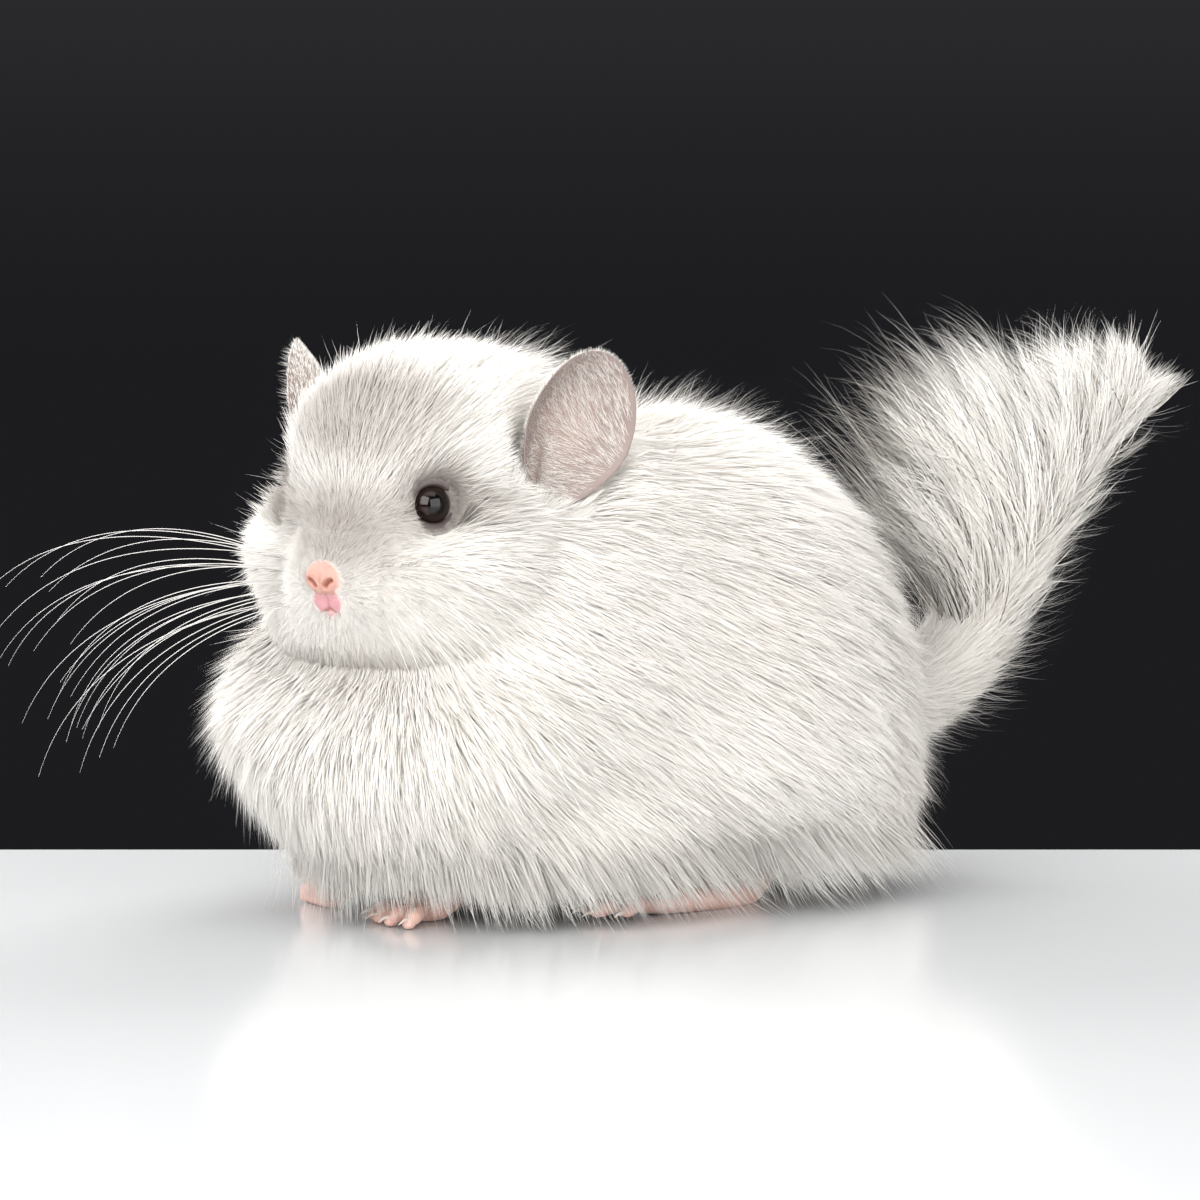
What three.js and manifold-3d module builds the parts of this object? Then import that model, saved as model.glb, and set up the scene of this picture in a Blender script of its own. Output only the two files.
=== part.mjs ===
// A domestic chinchilla with a pale plush coat, life size, standing low on all fours with its tail raised.
// Millimetres, +Z up. The animal faces -Y, and +X is its own left. Each mesh is one named part of the body.
import * as THREE from "three";
import { LoftGeometry } from "three/addons/geometries/LoftGeometry.js";
import { mergeVertices } from "three/addons/utils/BufferGeometryUtils.js";
import Module from "manifold-3d";

const wasm = await Module();
wasm.setup();

// Driving dimensions
const BODY_LENGTH = 228; // chest to rump, over the coat
const BODY_WIDTH = 158; // at the haunches
const BACK_HEIGHT = 151;
const CHEST_WIDTH = 132;
const HEAD_WIDTH = 96; // across the jowls
const HEAD_LENGTH = 92; // nose to nape
const HEAD_HEIGHT = 92; // chin to crown
const HEAD_TURN = THREE.MathUtils.degToRad(26); // the face looks towards the animal's left
const HEAD_CENTRE = new THREE.Vector3(6, -61, 123);
const EYE_DIAMETER = 13;
const EAR_LENGTH = 47;
const EAR_WIDTH = 39;
const TAIL_WIDTH = 33; // over the short coat at its root
const WHISKER_LENGTH = 118;
const PAW_WIDTH = 16;
const HEM_HEIGHT = 15; // where the fringe of the coat leaves the body
const HIND_FOOT_LENGTH = 58;
const GAP = 0.3; // between touching parts

// Colours of the coat and the bare skin
const COLOURS = {
  coat: 0xeeebe6,
  face: 0xd9d5cf,
  ear: 0xcbbdb3,
  eye: 0x0c0b0c,
  skin: 0xe0aa9c,
  plume: 0xf4f2ef,
};

const vec = (x, y, z) => new THREE.Vector3(x, y, z);
const lerp = THREE.MathUtils.lerp;
const { cos, sin, PI, hypot, abs, max, min, sqrt, sign } = Math;

// A small repeatable random source, so that every build is the same.
function randomSource(seed) {
  let state = seed;
  return () => {
    state = (state * 1664525 + 1013904223) % 4294967296;
    return state / 4294967296;
  };
}

// A closed three.js geometry as a solid, with shared vertices merged and collapsed triangles left out.
function solidOf(geometry) {
  const bare = new THREE.BufferGeometry();
  bare.setAttribute("position", geometry.attributes.position);
  bare.setIndex(geometry.index);
  const merged = mergeVertices(bare, 1e-4);
  const index = merged.index.array;
  const triVerts = [];
  for (let i = 0; i < index.length; i += 3) {
    const [a, b, c] = [index[i], index[i + 1], index[i + 2]];
    if (a !== b && b !== c && a !== c) triVerts.push(a, b, c);
  }
  const vertProperties = new Float32Array(merged.attributes.position.array);
  const made = new wasm.Manifold(
    new wasm.Mesh({ numProp: 3, vertProperties, triVerts: new Uint32Array(triVerts) }),
  );
  if (made.volume() > 0) return made;
  for (let i = 0; i < triVerts.length; i += 3) [triVerts[i + 1], triVerts[i + 2]] = [triVerts[i + 2], triVerts[i + 1]];
  return new wasm.Manifold(new wasm.Mesh({ numProp: 3, vertProperties, triVerts: new Uint32Array(triVerts) }));
}

// All the solids joined, keeping only the largest closed body.
function fuse(solids) {
  const joined = wasm.Manifold.union(solids);
  return largest(joined);
}

function largest(solid) {
  const bodies = solid.decompose();
  return bodies.reduce((best, body) => (body.volume() > best.volume() ? body : best), bodies[0]);
}

// The signed distance to an egg: an ellipsoid whose lower half has its own height.
function egg(centre, radii, lowRadius = radii[2]) {
  return (x, y, z) => {
    const [dx, dy, dz] = [x - centre[0], y - centre[1], z - centre[2]];
    const rz = dz > 0 ? radii[2] : lowRadius;
    const scaled = hypot(dx / radii[0], dy / radii[1], dz / rz);
    const slope = hypot(dx / radii[0] ** 2, dy / radii[1] ** 2, dz / rz ** 2);
    return slope < 1e-9 ? -min(radii[0], radii[1], rz) : (scaled * (scaled - 1)) / slope;
  };
}

function softMin(a, b, width) {
  const h = max(width - abs(a - b), 0) / width;
  return min(a, b) - (h * h * width) / 4;
}

function blend(shapes, width) {
  return (x, y, z) => shapes.reduce((d, shape) => softMin(d, shape(x, y, z), width), 1e3);
}

// The head's own frame: x to its left, f forward to the nose, z up, from the middle of the head.
const headLeft = vec(cos(HEAD_TURN), sin(HEAD_TURN), 0);
const headForward = vec(sin(HEAD_TURN), -cos(HEAD_TURN), 0);
const UP = vec(0, 0, 1);
const headPoint = (x, f, z) =>
  HEAD_CENTRE.clone().addScaledVector(headLeft, x).addScaledVector(headForward, f).addScaledVector(UP, z);
const headDirection = (x, f, z) => headPoint(x, f, z).sub(HEAD_CENTRE).normalize();

// The coat's surface over the trunk
const halfLength = BODY_LENGTH / 2;
const trunk = blend(
  [
    egg([0, -halfLength + 64, 62], [CHEST_WIDTH / 2, 64, 46], 56),
    egg([0, 28, 54], [BODY_WIDTH / 2, halfLength - 31, BACK_HEIGHT - 56], 48),
    egg([0, -14, 74], [BODY_WIDTH / 2 - 10, 66, BACK_HEIGHT - 76], 68),
    egg([0, halfLength - 59, 35], [BODY_WIDTH / 2 - 12, 55, 38], 29),
    egg([0, -20, 34], [BODY_WIDTH / 2 - 16, 60, 30], 28),
  ],
  12,
);

// The coat's surface over the head, in the head's frame
const halfHead = HEAD_WIDTH / 2;
const noseTip = HEAD_LENGTH / 2 + 1;
const headShapes = blend(
  [
    egg([0, -5, 6], [halfHead - 8, 40, HEAD_HEIGHT / 2 - 5]),
    egg([0, 9, 5], [halfHead - 15, 29, 34]),
    egg([halfHead - 21, 9, -15], [20, 25, 20]),
    egg([21 - halfHead, 9, -15], [20, 25, 20]),
    egg([0, 20, -21], [26, 20, 18]),
    egg([8, 30, -20], [10, 12, 9]),
    egg([-8, 30, -20], [10, 12, 9]),
    egg([0, 27, -9], [11, 17, 10]),
  ],
  9,
);
const noseShape = egg([0, noseTip - 4.5, -17.5], [6.4, 4.6, 5.2]);
function head(x, y, z) {
  const [dx, dy, dz] = [x - HEAD_CENTRE.x, y - HEAD_CENTRE.y, z - HEAD_CENTRE.z];
  const left = dx * headLeft.x + dy * headLeft.y;
  const forward = dx * headForward.x + dy * headForward.y;
  return softMin(headShapes(left, forward, dz), noseShape(left, forward, dz), 3);
}
const nape = egg([2, -26, 112], [40, 35, 54], 50);
const coat = (x, y, z) => softMin(softMin(trunk(x, y, z), nape(x, y, z), 16), head(x, y, z), 7);

// A closed skin round a centre: a sphere whose points move out along their rays until the field reaches a level.
// The sphere's pole lies along an axis, where its rings crowd together when crowding is over 1.
function starSolid({ centre, axis, field, around, rings, crowding = 1, reach = 150, level = 0 }) {
  const sphere = new THREE.SphereGeometry(1, around, rings);
  const turn = new THREE.Quaternion().setFromUnitVectors(vec(0, 1, 0), axis.clone().normalize());
  const at = sphere.attributes.position;
  const ray = vec(0, 0, 0);
  for (let i = 0; i < at.count; i++) {
    ray.fromBufferAttribute(at, i);
    const polar = PI * (Math.acos(THREE.MathUtils.clamp(ray.y, -1, 1)) / PI) ** crowding;
    const azimuth = Math.atan2(ray.z, ray.x);
    const ring = polar < 1e-6 || PI - polar < 1e-6 ? 0 : sin(polar);
    ray.set(ring * cos(azimuth), cos(polar), ring * sin(azimuth)).applyQuaternion(turn);
    let t = 0;
    for (let step = 0; step < 60; step++) {
      const d = field(centre.x + ray.x * t, centre.y + ray.y * t, centre.z + ray.z * t) - level;
      if (d > -0.01 || t > reach) break;
      t += max(-d * 0.8, 0.02);
    }
    ray.multiplyScalar(min(t, reach)).add(centre);
    at.setXYZ(i, ray.x, ray.y, ray.z);
  }
  return solidOf(sphere);
}

// The outward direction of the coat at a point, and the point moved onto the coat's surface.
function outward(field, p) {
  const s = 0.5;
  return vec(
    field(p.x + s, p.y, p.z) - field(p.x - s, p.y, p.z),
    field(p.x, p.y + s, p.z) - field(p.x, p.y - s, p.z),
    field(p.x, p.y, p.z + s) - field(p.x, p.y, p.z - s),
  ).normalize();
}
function ontoSurface(field, p) {
  for (let i = 0; i < 8; i++) p.addScaledVector(outward(field, p), -field(p.x, p.y, p.z));
  return p;
}

// A closed body of flattened oval sections along a route, with rounded ends.
// width and depth are functions of the share of the way along, and across gives the sections' wide direction.
function limb({ route, width, depth, across, sides = 12, steps = 8, grow = 0 }) {
  const curve = new THREE.CatmullRomCurve3(route);
  const sections = [];
  for (let i = 0; i <= steps; i++) {
    const share = i / steps;
    const centre = curve.getPoint(share);
    const along = curve.getTangent(share);
    const side = across.clone().addScaledVector(along, -across.dot(along)).normalize();
    const normal = along.clone().cross(side);
    const end = i === 0 || i === steps;
    const w = end ? 0 : width(share) / 2 + grow;
    const d = end ? 0 : depth(share) / 2 + grow;
    if (end) centre.addScaledVector(along, i === 0 ? -grow : grow);
    const points = [];
    for (let j = 0; j < sides; j++) {
      const angle = (2 * PI * j) / sides;
      points.push(centre.clone().addScaledVector(side, w * cos(angle)).addScaledVector(normal, d * sin(angle)));
    }
    sections.push(points);
  }
  return solidOf(new LoftGeometry(sections));
}

// How wide a rounded form is at a share of its length: full in the middle and round at both ends.
const rounded = (share, blunt = 0.5) => (1 - abs(2 * share - 1) ** 2.6) ** blunt;

// One flat, tapered lock: it leaves its root along rise, bends towards fall, and ends in a point.
function lock({ root, rise, fall, normal, length, width, thickness, segments = 4 }) {
  const sections = [];
  const at = root.clone();
  for (let i = 0; i <= segments; i++) {
    const share = i / segments;
    const along = rise.clone().lerp(fall, share).normalize();
    if (i > 0) at.addScaledVector(along, length / segments);
    const side = along.clone().cross(normal).normalize();
    const flat = along.clone().cross(side);
    const taper = i === segments ? 0 : 1 - 0.75 * share ** 1.6;
    const w = (width / 2) * taper;
    const t = (thickness / 2) * max(taper, i === segments ? 0 : 0.45);
    sections.push([
      at.clone().addScaledVector(side, w).addScaledVector(flat, -t),
      at.clone().addScaledVector(flat, t),
      at.clone().addScaledVector(side, -w).addScaledVector(flat, -t),
    ]);
  }
  return solidOf(new LoftGeometry(sections, { capStart: true }));
}

const parts = [];
// A finished part, set down at its own pivot.
function addPart(name, solid, pivot, colour, roughness = 0.9) {
  const mesh = solid.getMesh();
  const positions = new Float32Array(mesh.numVert * 3);
  for (let i = 0; i < mesh.numVert; i++)
    for (let k = 0; k < 3; k++)
      positions[3 * i + k] = mesh.vertProperties[mesh.numProp * i + k] - pivot.getComponent(k);
  const geometry = new THREE.BufferGeometry();
  geometry.setAttribute("position", new THREE.BufferAttribute(positions, 3));
  geometry.setIndex(new THREE.BufferAttribute(mesh.triVerts, 1));
  geometry.computeVertexNormals();
  const made = new THREE.Mesh(geometry, new THREE.MeshStandardMaterial({ color: colour, roughness, metalness: 0 }));
  made.name = name;
  made.position.copy(pivot);
  parts.push(made);
}

// The planes that part the head from the neck and the neck from the torso
const neckNormal = headDirection(0, 0.776, 0.635);
const neckOffset = neckNormal.dot(HEAD_CENTRE) - 4;
const NECK_LENGTH = 15;

// The whole form of each region, before the small parts are cut clear of it
const headCentre = headPoint(0, 0, -4);
const headWhole = starSolid({
  centre: headCentre,
  axis: headPoint(0, noseTip, -17).sub(headCentre),
  field: coat,
  around: 34,
  rings: 24,
  crowding: 1.3,
  reach: 70,
});
let headSolid = headWhole.trimByPlane(neckNormal.toArray(), neckOffset + GAP / 2);

const torsoCentre = vec(0, 4, 72);
const torsoWhole = starSolid({ centre: torsoCentre, axis: vec(0, 1, 0), field: coat, around: 34, rings: 22 });
let torsoSolid = torsoWhole.trimByPlane(neckNormal.clone().negate().toArray(), -(neckOffset - NECK_LENGTH - GAP / 2));

const neckCentre = HEAD_CENTRE.clone().addScaledVector(neckNormal, -11);
const neckSolid = starSolid({ centre: neckCentre, axis: neckNormal, field: coat, around: 38, rings: 20 })
  .trimByPlane(neckNormal.clone().negate().toArray(), -(neckOffset - GAP / 2))
  .trimByPlane(neckNormal.toArray(), neckOffset - NECK_LENGTH + GAP / 2);

// Eyes, each in a socket with a rim of lids
const eyeRadius = EYE_DIAMETER / 2;
for (const [name, s] of [["left", 1], ["right", -1]]) {
  const centre = headPoint(s * 20.5, 21.5, 2.5);
  const gaze = headDirection(s * 0.86, 0.5, 0.08);
  const eye = solidOf(new THREE.SphereGeometry(eyeRadius, 16, 10).translate(...centre.toArray()));
  addPart(`eye_${name}`, eye, centre, COLOURS.eye, 0.08);

  const facing = new THREE.Quaternion().setFromUnitVectors(vec(0, 0, 1), gaze);
  const dish = new THREE.SphereGeometry(1, 14, 9).scale(9.4, 8.6, 5.2).applyQuaternion(facing);
  const dishCentre = centre.clone().addScaledVector(gaze, eyeRadius + 0.6);
  const lids = new THREE.TorusGeometry(6.1, 1.5, 7, 22).scale(1.08, 1, 1.25).applyQuaternion(facing);
  const lidCentre = centre.clone().addScaledVector(gaze, 2.4);
  const socket = new THREE.SphereGeometry(eyeRadius + GAP, 16, 10).translate(...centre.toArray());
  headSolid = headSolid
    .subtract(solidOf(dish.translate(...dishCentre.toArray())))
    .add(solidOf(lids.translate(...lidCentre.toArray())))
    .subtract(solidOf(socket));
}

// Nostrils, the groove below the nose and the line of the mouth
for (const s of [1, -1]) {
  headSolid = headSolid.subtract(
    limb({
      route: [headPoint(s * 1.6, noseTip + 1.2, -19.4), headPoint(s * 3.4, noseTip - 0.4, -17.9), headPoint(s * 5, noseTip - 2.2, -16.6)],
      width: (t) => 2.2 * rounded(t),
      depth: (t) => 3.2 * rounded(t),
      across: UP,
      sides: 6,
      steps: 4,
    }),
  );
}
const mouthRoutes = [
  [[0, 1, -20.5], [0, -0.8, -24.5], [0, -2.2, -28]],
  [[0, -2, -27.4], [5, -4, -29.4], [10, -8.5, -32.2], [13, -13, -34.4]],
  [[0, -2, -27.4], [-5, -4, -29.4], [-10, -8.5, -32.2], [-13, -13, -34.4]],
];
for (const route of mouthRoutes) {
  const points = route.map(([x, f, z]) => ontoSurface(head, headPoint(x, noseTip + f, z)));
  headSolid = headSolid.subtract(
    limb({ route: points, width: (t) => 1.5 * rounded(t), depth: (t) => 3.4 * rounded(t), across: headLeft, sides: 4, steps: 6 }),
  );
}

// Whisker pads, cut out of the muzzle, each with its long whiskers
const whiskerRandom = randomSource(11);
for (const [name, s] of [["left", 1], ["right", -1]]) {
  const centre = headPoint(s * 19, 30, -21);
  const facing = new THREE.Quaternion().setFromUnitVectors(vec(0, 0, 1), headDirection(s * 0.7, 0.7, -0.05));
  const region = (grow) =>
    solidOf(
      new THREE.SphereGeometry(1, 14, 8)
        .scale(11.5 + grow, 10 + grow, 13 + grow)
        .applyQuaternion(facing)
        .translate(...centre.toArray()),
    );
  const pad = largest(headSolid.intersect(region(0)));
  headSolid = headSolid.subtract(region(GAP));
  const pieces = [pad];
  const [rows, columns] = [4, 4];
  for (let row = 0; row < rows; row++)
    for (let column = 0; column < columns; column++) {
      const [up, back] = [row / (rows - 1), column / (columns - 1)];
      const root = ontoSurface(head, headPoint(s * lerp(16, 24, back), lerp(38, 30, back), lerp(-27, -14.5, up)));
      const out = outward(head, root);
      const length = WHISKER_LENGTH * lerp(0.6, 1, up) * lerp(0.75, 1, back) * (0.9 + 0.14 * whiskerRandom());
      const start = headDirection(s * 0.92, lerp(0.5, 0.15, back), lerp(-0.35, 0.18, up)).lerp(out, 0.4).normalize();
      const end = headDirection(s * lerp(0.4, 0.8, up), lerp(0.05, -0.25, back), lerp(-1.0, -0.75, up));
      const from = root.clone().addScaledVector(out, -3);
      pieces.push(whisker(from, out, start, end, length));
      if (headSolid.intersect(pieces.at(-1)).volume() > 1e-5)
        headSolid = headSolid.subtract(whisker(from, out, start, end, length, 2 * GAP));
    }
  addPart(`whisker_pad_${name}`, fuse(pieces), centre, COLOURS.coat);
}

// A fine tapered spine that leaves the skin along out, swings to start and droops to end.
function whisker(root, out, start, end, length, grow = 0) {
  const at = root.clone();
  const sections = [];
  const steps = 5;
  const lead = 6;
  for (let i = 0; i <= steps + 1; i++) {
    const share = max(0, i - 1) / steps;
    const along = start.clone().lerp(end, share ** 1.2).normalize();
    if (i === 1) at.addScaledVector(out, lead);
    if (i > 1) at.addScaledVector(along, length / steps);
    const side = along.clone().cross(UP).normalize();
    const top = along.clone().cross(side);
    const r = i > steps ? 0 : lerp(0.42, 0.3, share) + grow;
    sections.push(
      [0, 1, 2].map((k) => {
        const angle = (2 * PI * k) / 3;
        return at.clone().addScaledVector(side, r * cos(angle)).addScaledVector(top, r * sin(angle));
      }),
    );
  }
  return solidOf(new LoftGeometry(sections, { capStart: true }));
}

// Ears: an upright oval cup on a short root, its hollow facing out and forward
for (const [name, s] of [["left", 1], ["right", -1]]) {
  const base = headPoint(s * 40, -7, -2);
  const tip = headPoint(s * 54, -20, 39);
  const lengthwise = tip.clone().sub(base).normalize();
  const hollow = headDirection(s * 0.72, 0.62, -0.25);
  const facing = hollow.clone().addScaledVector(lengthwise, -hollow.dot(lengthwise)).normalize();
  const crosswise = lengthwise.clone().cross(facing).normalize();
  const middle = base.clone().addScaledVector(lengthwise, EAR_LENGTH * 0.55);
  const [segments, bands] = [24, 3];
  const CUP_DEPTH = 8;
  const sheet = (rho, angle, lift) => {
    const upness = sin(angle);
    const narrow = upness < 0 ? 1 - 0.34 * abs(upness) ** 1.4 : 1;
    const x = (EAR_WIDTH / 2) * rho * cos(angle) * narrow;
    const y = (EAR_LENGTH / 2) * 1.04 * rho * upness;
    const bowl = CUP_DEPTH * rho ** 2 * (1 + 0.35 * cos(angle) ** 2) - CUP_DEPTH;
    return middle
      .clone()
      .addScaledVector(crosswise, x)
      .addScaledVector(lengthwise, y)
      .addScaledVector(facing, bowl + lift);
  };
  const sections = [];
  const ring = (rho, lift) => Array.from({ length: segments }, (_, j) => sheet(rho, (2 * PI * j) / segments, lift));
  for (let i = 0; i <= bands; i++) sections.push(ring(i / bands, 0));
  sections.push(ring(1.03, -0.6));
  for (let i = bands; i >= 0; i--) sections.push(ring(i / bands, -1.3));
  const cup = solidOf(new LoftGeometry(sections));
  const rootCentre = base.clone().addScaledVector(lengthwise, 2).addScaledVector(facing, -3);
  const rootTurn = new THREE.Quaternion().setFromUnitVectors(vec(0, 0, 1), lengthwise);
  const rootForm = (grow) =>
    solidOf(
      new THREE.SphereGeometry(1, 12, 8)
        .scale(8.5 + grow, 7.5 + grow, 12 + grow)
        .applyQuaternion(rootTurn)
        .translate(...rootCentre.toArray()),
    );
  const hollowBall = solidOf(
    new THREE.SphereGeometry(1, 14, 8)
      .scale(7.4, 6.4, 11)
      .applyQuaternion(rootTurn)
      .translate(...rootCentre.clone().addScaledVector(facing, 6.4).addScaledVector(lengthwise, 7).toArray()),
  );
  const skull = starSolid({
    centre: headCentre, axis: UP, field: coat, around: 40, rings: 26, reach: 75, level: GAP,
  });
  const earSolid = fuse([cup, rootForm(0)]).subtract(hollowBall).subtract(skull);
  addPart(`ear_${name}`, largest(earSolid), base, COLOURS.ear);
}

addPart("head", largest(headSolid), HEAD_CENTRE, COLOURS.face);
addPart("neck", largest(neckSolid), neckCentre, COLOURS.coat);

// Front legs: a furred forearm that comes down out of the chest, and a small hand of four fingers
function frontLeg(grow, s, curled) {
  const paw = s > 0 ? vec(15, -60, 0) : vec(-26, -69, 0);
  const shoulder = vec(s * 30, -52, 42);
  const wrist = paw.clone().add(vec(s * 2, curled ? -4 : 3, curled ? 16 : 9));
  const pieces = [
    limb({
      route: [shoulder, vec((shoulder.x + wrist.x) / 2, -58, 29), wrist, paw.clone().add(vec(0, -5, curled ? 7 : 5)), paw.clone().add(vec(0, -11, curled ? 5 : 4))],
      width: (t) => lerp(26, PAW_WIDTH - 2, t) * rounded(t, 0.4),
      depth: (t) => lerp(26, 13, t) * rounded(t, 0.4),
      across: vec(1, 0, 0),
      sides: 12,
      steps: 8,
      grow,
    }),
  ];
  for (let i = 0; i < 4; i++) {
    const spread = (i - 1.5) / 1.5;
    const from = paw.clone().add(vec(spread * 4.6, curled ? -5 : -5, curled ? 8 : 5));
    const bend = curled ? vec(spread * 6, -7, 1.3) : vec(spread * 8.5, -12.5 + abs(spread) * 2.5, 4.2);
    const end = curled ? vec(spread * 5.4, 3, 4) : vec(spread * 10.5, -17.5 + abs(spread) * 3.5, 1.8);
    pieces.push(
      limb({
        route: [from, paw.clone().add(bend), paw.clone().add(end)],
        width: (t) => 5.4 * rounded(t, 0.4),
        depth: (t) => 5.6 * rounded(t, 0.4),
        across: vec(1, 0, 0),
        sides: 6,
        steps: 4,
        grow,
      }),
    );
    pieces.push(
      limb({
        route: curled
          ? [paw.clone().add(vec(spread * 5.6, 0.4, 3.2)), paw.clone().add(vec(spread * 5.2, 6.2, 6))]
          : [paw.clone().add(vec(spread * 10.3, -16.6 + abs(spread) * 3.4, 3)), paw.clone().add(vec(spread * 11.2, -20.4 + abs(spread) * 3.8, 1.6))],
        width: (t) => 1.9 * rounded(t),
        depth: (t) => 1.9 * rounded(t),
        across: vec(1, 0, 0),
        sides: 5,
        steps: 3,
        grow,
      }),
    );
  }
  return fuse(pieces).trimByPlane([0, 0, 1], grow > 0 ? -GAP : 0);
}

// Hind feet: a long sole flat on the floor, with three long toes and a short one
function hindFoot(grow, s) {
  const heel = vec(s * 34, HIND_FOOT_LENGTH - 20, 0);
  const ball = vec(s * 41, -6, 0);
  const pieces = [
    limb({
      route: [vec(s * 34, 38, 34), heel.clone().add(vec(0, 2, 12)), heel.clone().add(vec(0, -4, 4.4)), ball.clone().add(vec(0, 14, 4.4)), ball.clone().add(vec(0, -3, 4.4))],
      width: (t) => lerp(26, 18, t) * rounded(t, 0.35),
      depth: (t) => lerp(26, 10.5, min(1, t * 1.6)) * rounded(t, 0.35),
      across: vec(1, 0, 0),
      sides: 12,
      steps: 10,
      grow,
    }),
  ];
  for (let i = 0; i < 4; i++) {
    const spread = (i - 1.5) / 1.5;
    const toe = i === (s > 0 ? 3 : 0) ? 0.6 : 1;
    const reach = (17 - 3 * abs(spread)) * toe;
    pieces.push(
      limb({
        route: [
          ball.clone().add(vec(spread * 5.6, 1, 5)),
          ball.clone().add(vec(spread * 7.4, -reach * 0.6, 5)),
          ball.clone().add(vec(spread * 8.6, -reach, 2)),
        ],
        width: (t) => 5.8 * rounded(t, 0.4),
        depth: (t) => 6 * rounded(t, 0.4),
        across: vec(1, 0, 0),
        sides: 6,
        steps: 4,
        grow,
      }),
      limb({
        route: [ball.clone().add(vec(spread * 8.5, 0.8 - reach, 3.4)), ball.clone().add(vec(spread * 9, -reach - 3.6, 1.8))],
        width: (t) => 2.1 * rounded(t),
        depth: (t) => 2.1 * rounded(t),
        across: vec(1, 0, 0),
        sides: 5,
        steps: 3,
        grow,
      }),
    );
  }
  return fuse(pieces).trimByPlane([0, 0, 1], grow > 0 ? -GAP : 0);
}

// The tail's middle line, up and back from the rump
const tailLine = new THREE.CatmullRomCurve3([
  vec(0, 92, 50),
  vec(0, 121, 54),
  vec(1, 143, 68),
  vec(2, 159, 91),
  vec(3, 177, 113),
  vec(3, 195, 131),
  vec(3, 211, 144),
]);
const TAIL_CUTS = [0.4, 0.7]; // where the root, the middle and the tip of the tail part
const tailHalf = (t) => (TAIL_WIDTH / 2) * (t < 0.5 ? lerp(1.04, 0.98, t / 0.5) : lerp(0.98, 0.34, ((t - 0.5) / 0.5) ** 0.9));
function tailCore(grow) {
  const steps = 18;
  const sides = 12;
  const sections = [];
  for (let i = 0; i <= steps; i++) {
    const t = i / steps;
    const along = tailLine.getTangent(t);
    const side = vec(1, 0, 0).addScaledVector(along, -along.x).normalize();
    const normal = along.clone().cross(side);
    const end = i === 0 ? 0.4 : i === steps ? 0 : 1;
    const r = tailHalf(t) * end * (t > 0.93 ? 0.75 : 1) + (end ? grow : 0);
    const centre = tailLine.getPoint(t);
    sections.push(
      Array.from({ length: sides }, (_, j) => {
        const angle = (2 * PI * j) / sides;
        return centre.clone().addScaledVector(side, 0.92 * r * cos(angle)).addScaledVector(normal, r * sin(angle));
      }),
    );
  }
  return solidOf(new LoftGeometry(sections, { capStart: true }));
}
const cutAt = (t) => {
  const normal = tailLine.getTangent(t);
  return { normal: normal.toArray(), back: normal.clone().negate().toArray(), offset: normal.dot(tailLine.getPoint(t)) };
};

// The plume: locks that stand out of the upper side of the tail as a fan. The rim is the line of its tips.
const plumeRim = new THREE.CatmullRomCurve3([
  vec(0, 110, 98),
  vec(0, 95, 128),
  vec(0, 98, 155),
  vec(0, 114, 171),
  vec(0, 140, 170),
  vec(0, 168, 172),
  vec(0, 192, 171),
  vec(0, 205, 173),
  vec(0, 221, 152),
]);
const PLUME_START = 0.37;
const PLUME_SPREAD = 36; // how far the fan opens to each side
const plumeRandom = randomSource(5);
function plumeLocks(from, to, rows, across) {
  const locks = [];
  for (let row = 0; row < rows; row++)
    for (let column = 0; column < across; column++) {
      const t = lerp(from, to, (row + 0.5 + 0.5 * (plumeRandom() - 0.5)) / rows);
      const turn = lerp(-1, 1, (column + 0.25 + 0.5 * (row % 2)) / across) * 1.9 + 0.2 * (plumeRandom() - 0.5);
      const along = tailLine.getTangent(t);
      const side = vec(1, 0, 0).addScaledVector(along, -along.x).normalize();
      const dorsal = side.clone().cross(along).normalize();
      const out = dorsal.clone().multiplyScalar(cos(turn)).addScaledVector(side, sin(turn));
      const root = tailLine.getPoint(t).addScaledVector(out, tailHalf(t) * 0.5);
      const share = THREE.MathUtils.clamp((t - PLUME_START) / (1 - PLUME_START), 0, 1);
      const tip = plumeRim.getPoint(THREE.MathUtils.clamp(share + 0.06 * (plumeRandom() - 0.5), 0, 1));
      tip.x += PLUME_SPREAD * sin(turn) * lerp(1, 0.45, share);
      const low = THREE.MathUtils.smoothstep(abs(turn), 0.5, 1.7);
      const swept = root.clone().addScaledVector(along, 27).addScaledVector(out, 9);
      tip.lerp(swept, low);
      const reach = tip.clone().sub(root).multiplyScalar(0.88 + 0.2 * plumeRandom());
      const fall = reach.clone().normalize();
      const rise = fall.clone().addScaledVector(out, 0.5).addScaledVector(along, 0.2).normalize();
      const normal = along.clone().cross(out);
      const [width, thickness] = [lerp(10, 7, share), lerp(2.8, 2, share)];
      locks.push(lock({ root, rise, fall, normal, length: reach.length(), width, thickness }));
    }
  return locks;
}

const core = tailCore(0);
const [firstCut, secondCut] = TAIL_CUTS.map(cutAt);
const tailRoot = core.trimByPlane(firstCut.back, -(firstCut.offset - GAP / 2));
const tailMiddle = core.trimByPlane(firstCut.normal, firstCut.offset + GAP / 2).trimByPlane(secondCut.back, -(secondCut.offset - GAP / 2));
const tailTip = core.trimByPlane(secondCut.normal, secondCut.offset + GAP / 2);
const halfSpace = (solid, cut, keepFar) =>
  keepFar ? solid.trimByPlane(cut.normal, cut.offset + GAP / 2) : solid.trimByPlane(cut.back, -(cut.offset - GAP / 2));
addPart("tail_root", largest(tailRoot), tailLine.getPoint(0), COLOURS.coat);
const middleLocks = plumeLocks(TAIL_CUTS[0] + 0.03, TAIL_CUTS[1] - 0.02, 5, 6);
const tipLocks = plumeLocks(TAIL_CUTS[1] + 0.02, 0.97, 5, 6);
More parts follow.
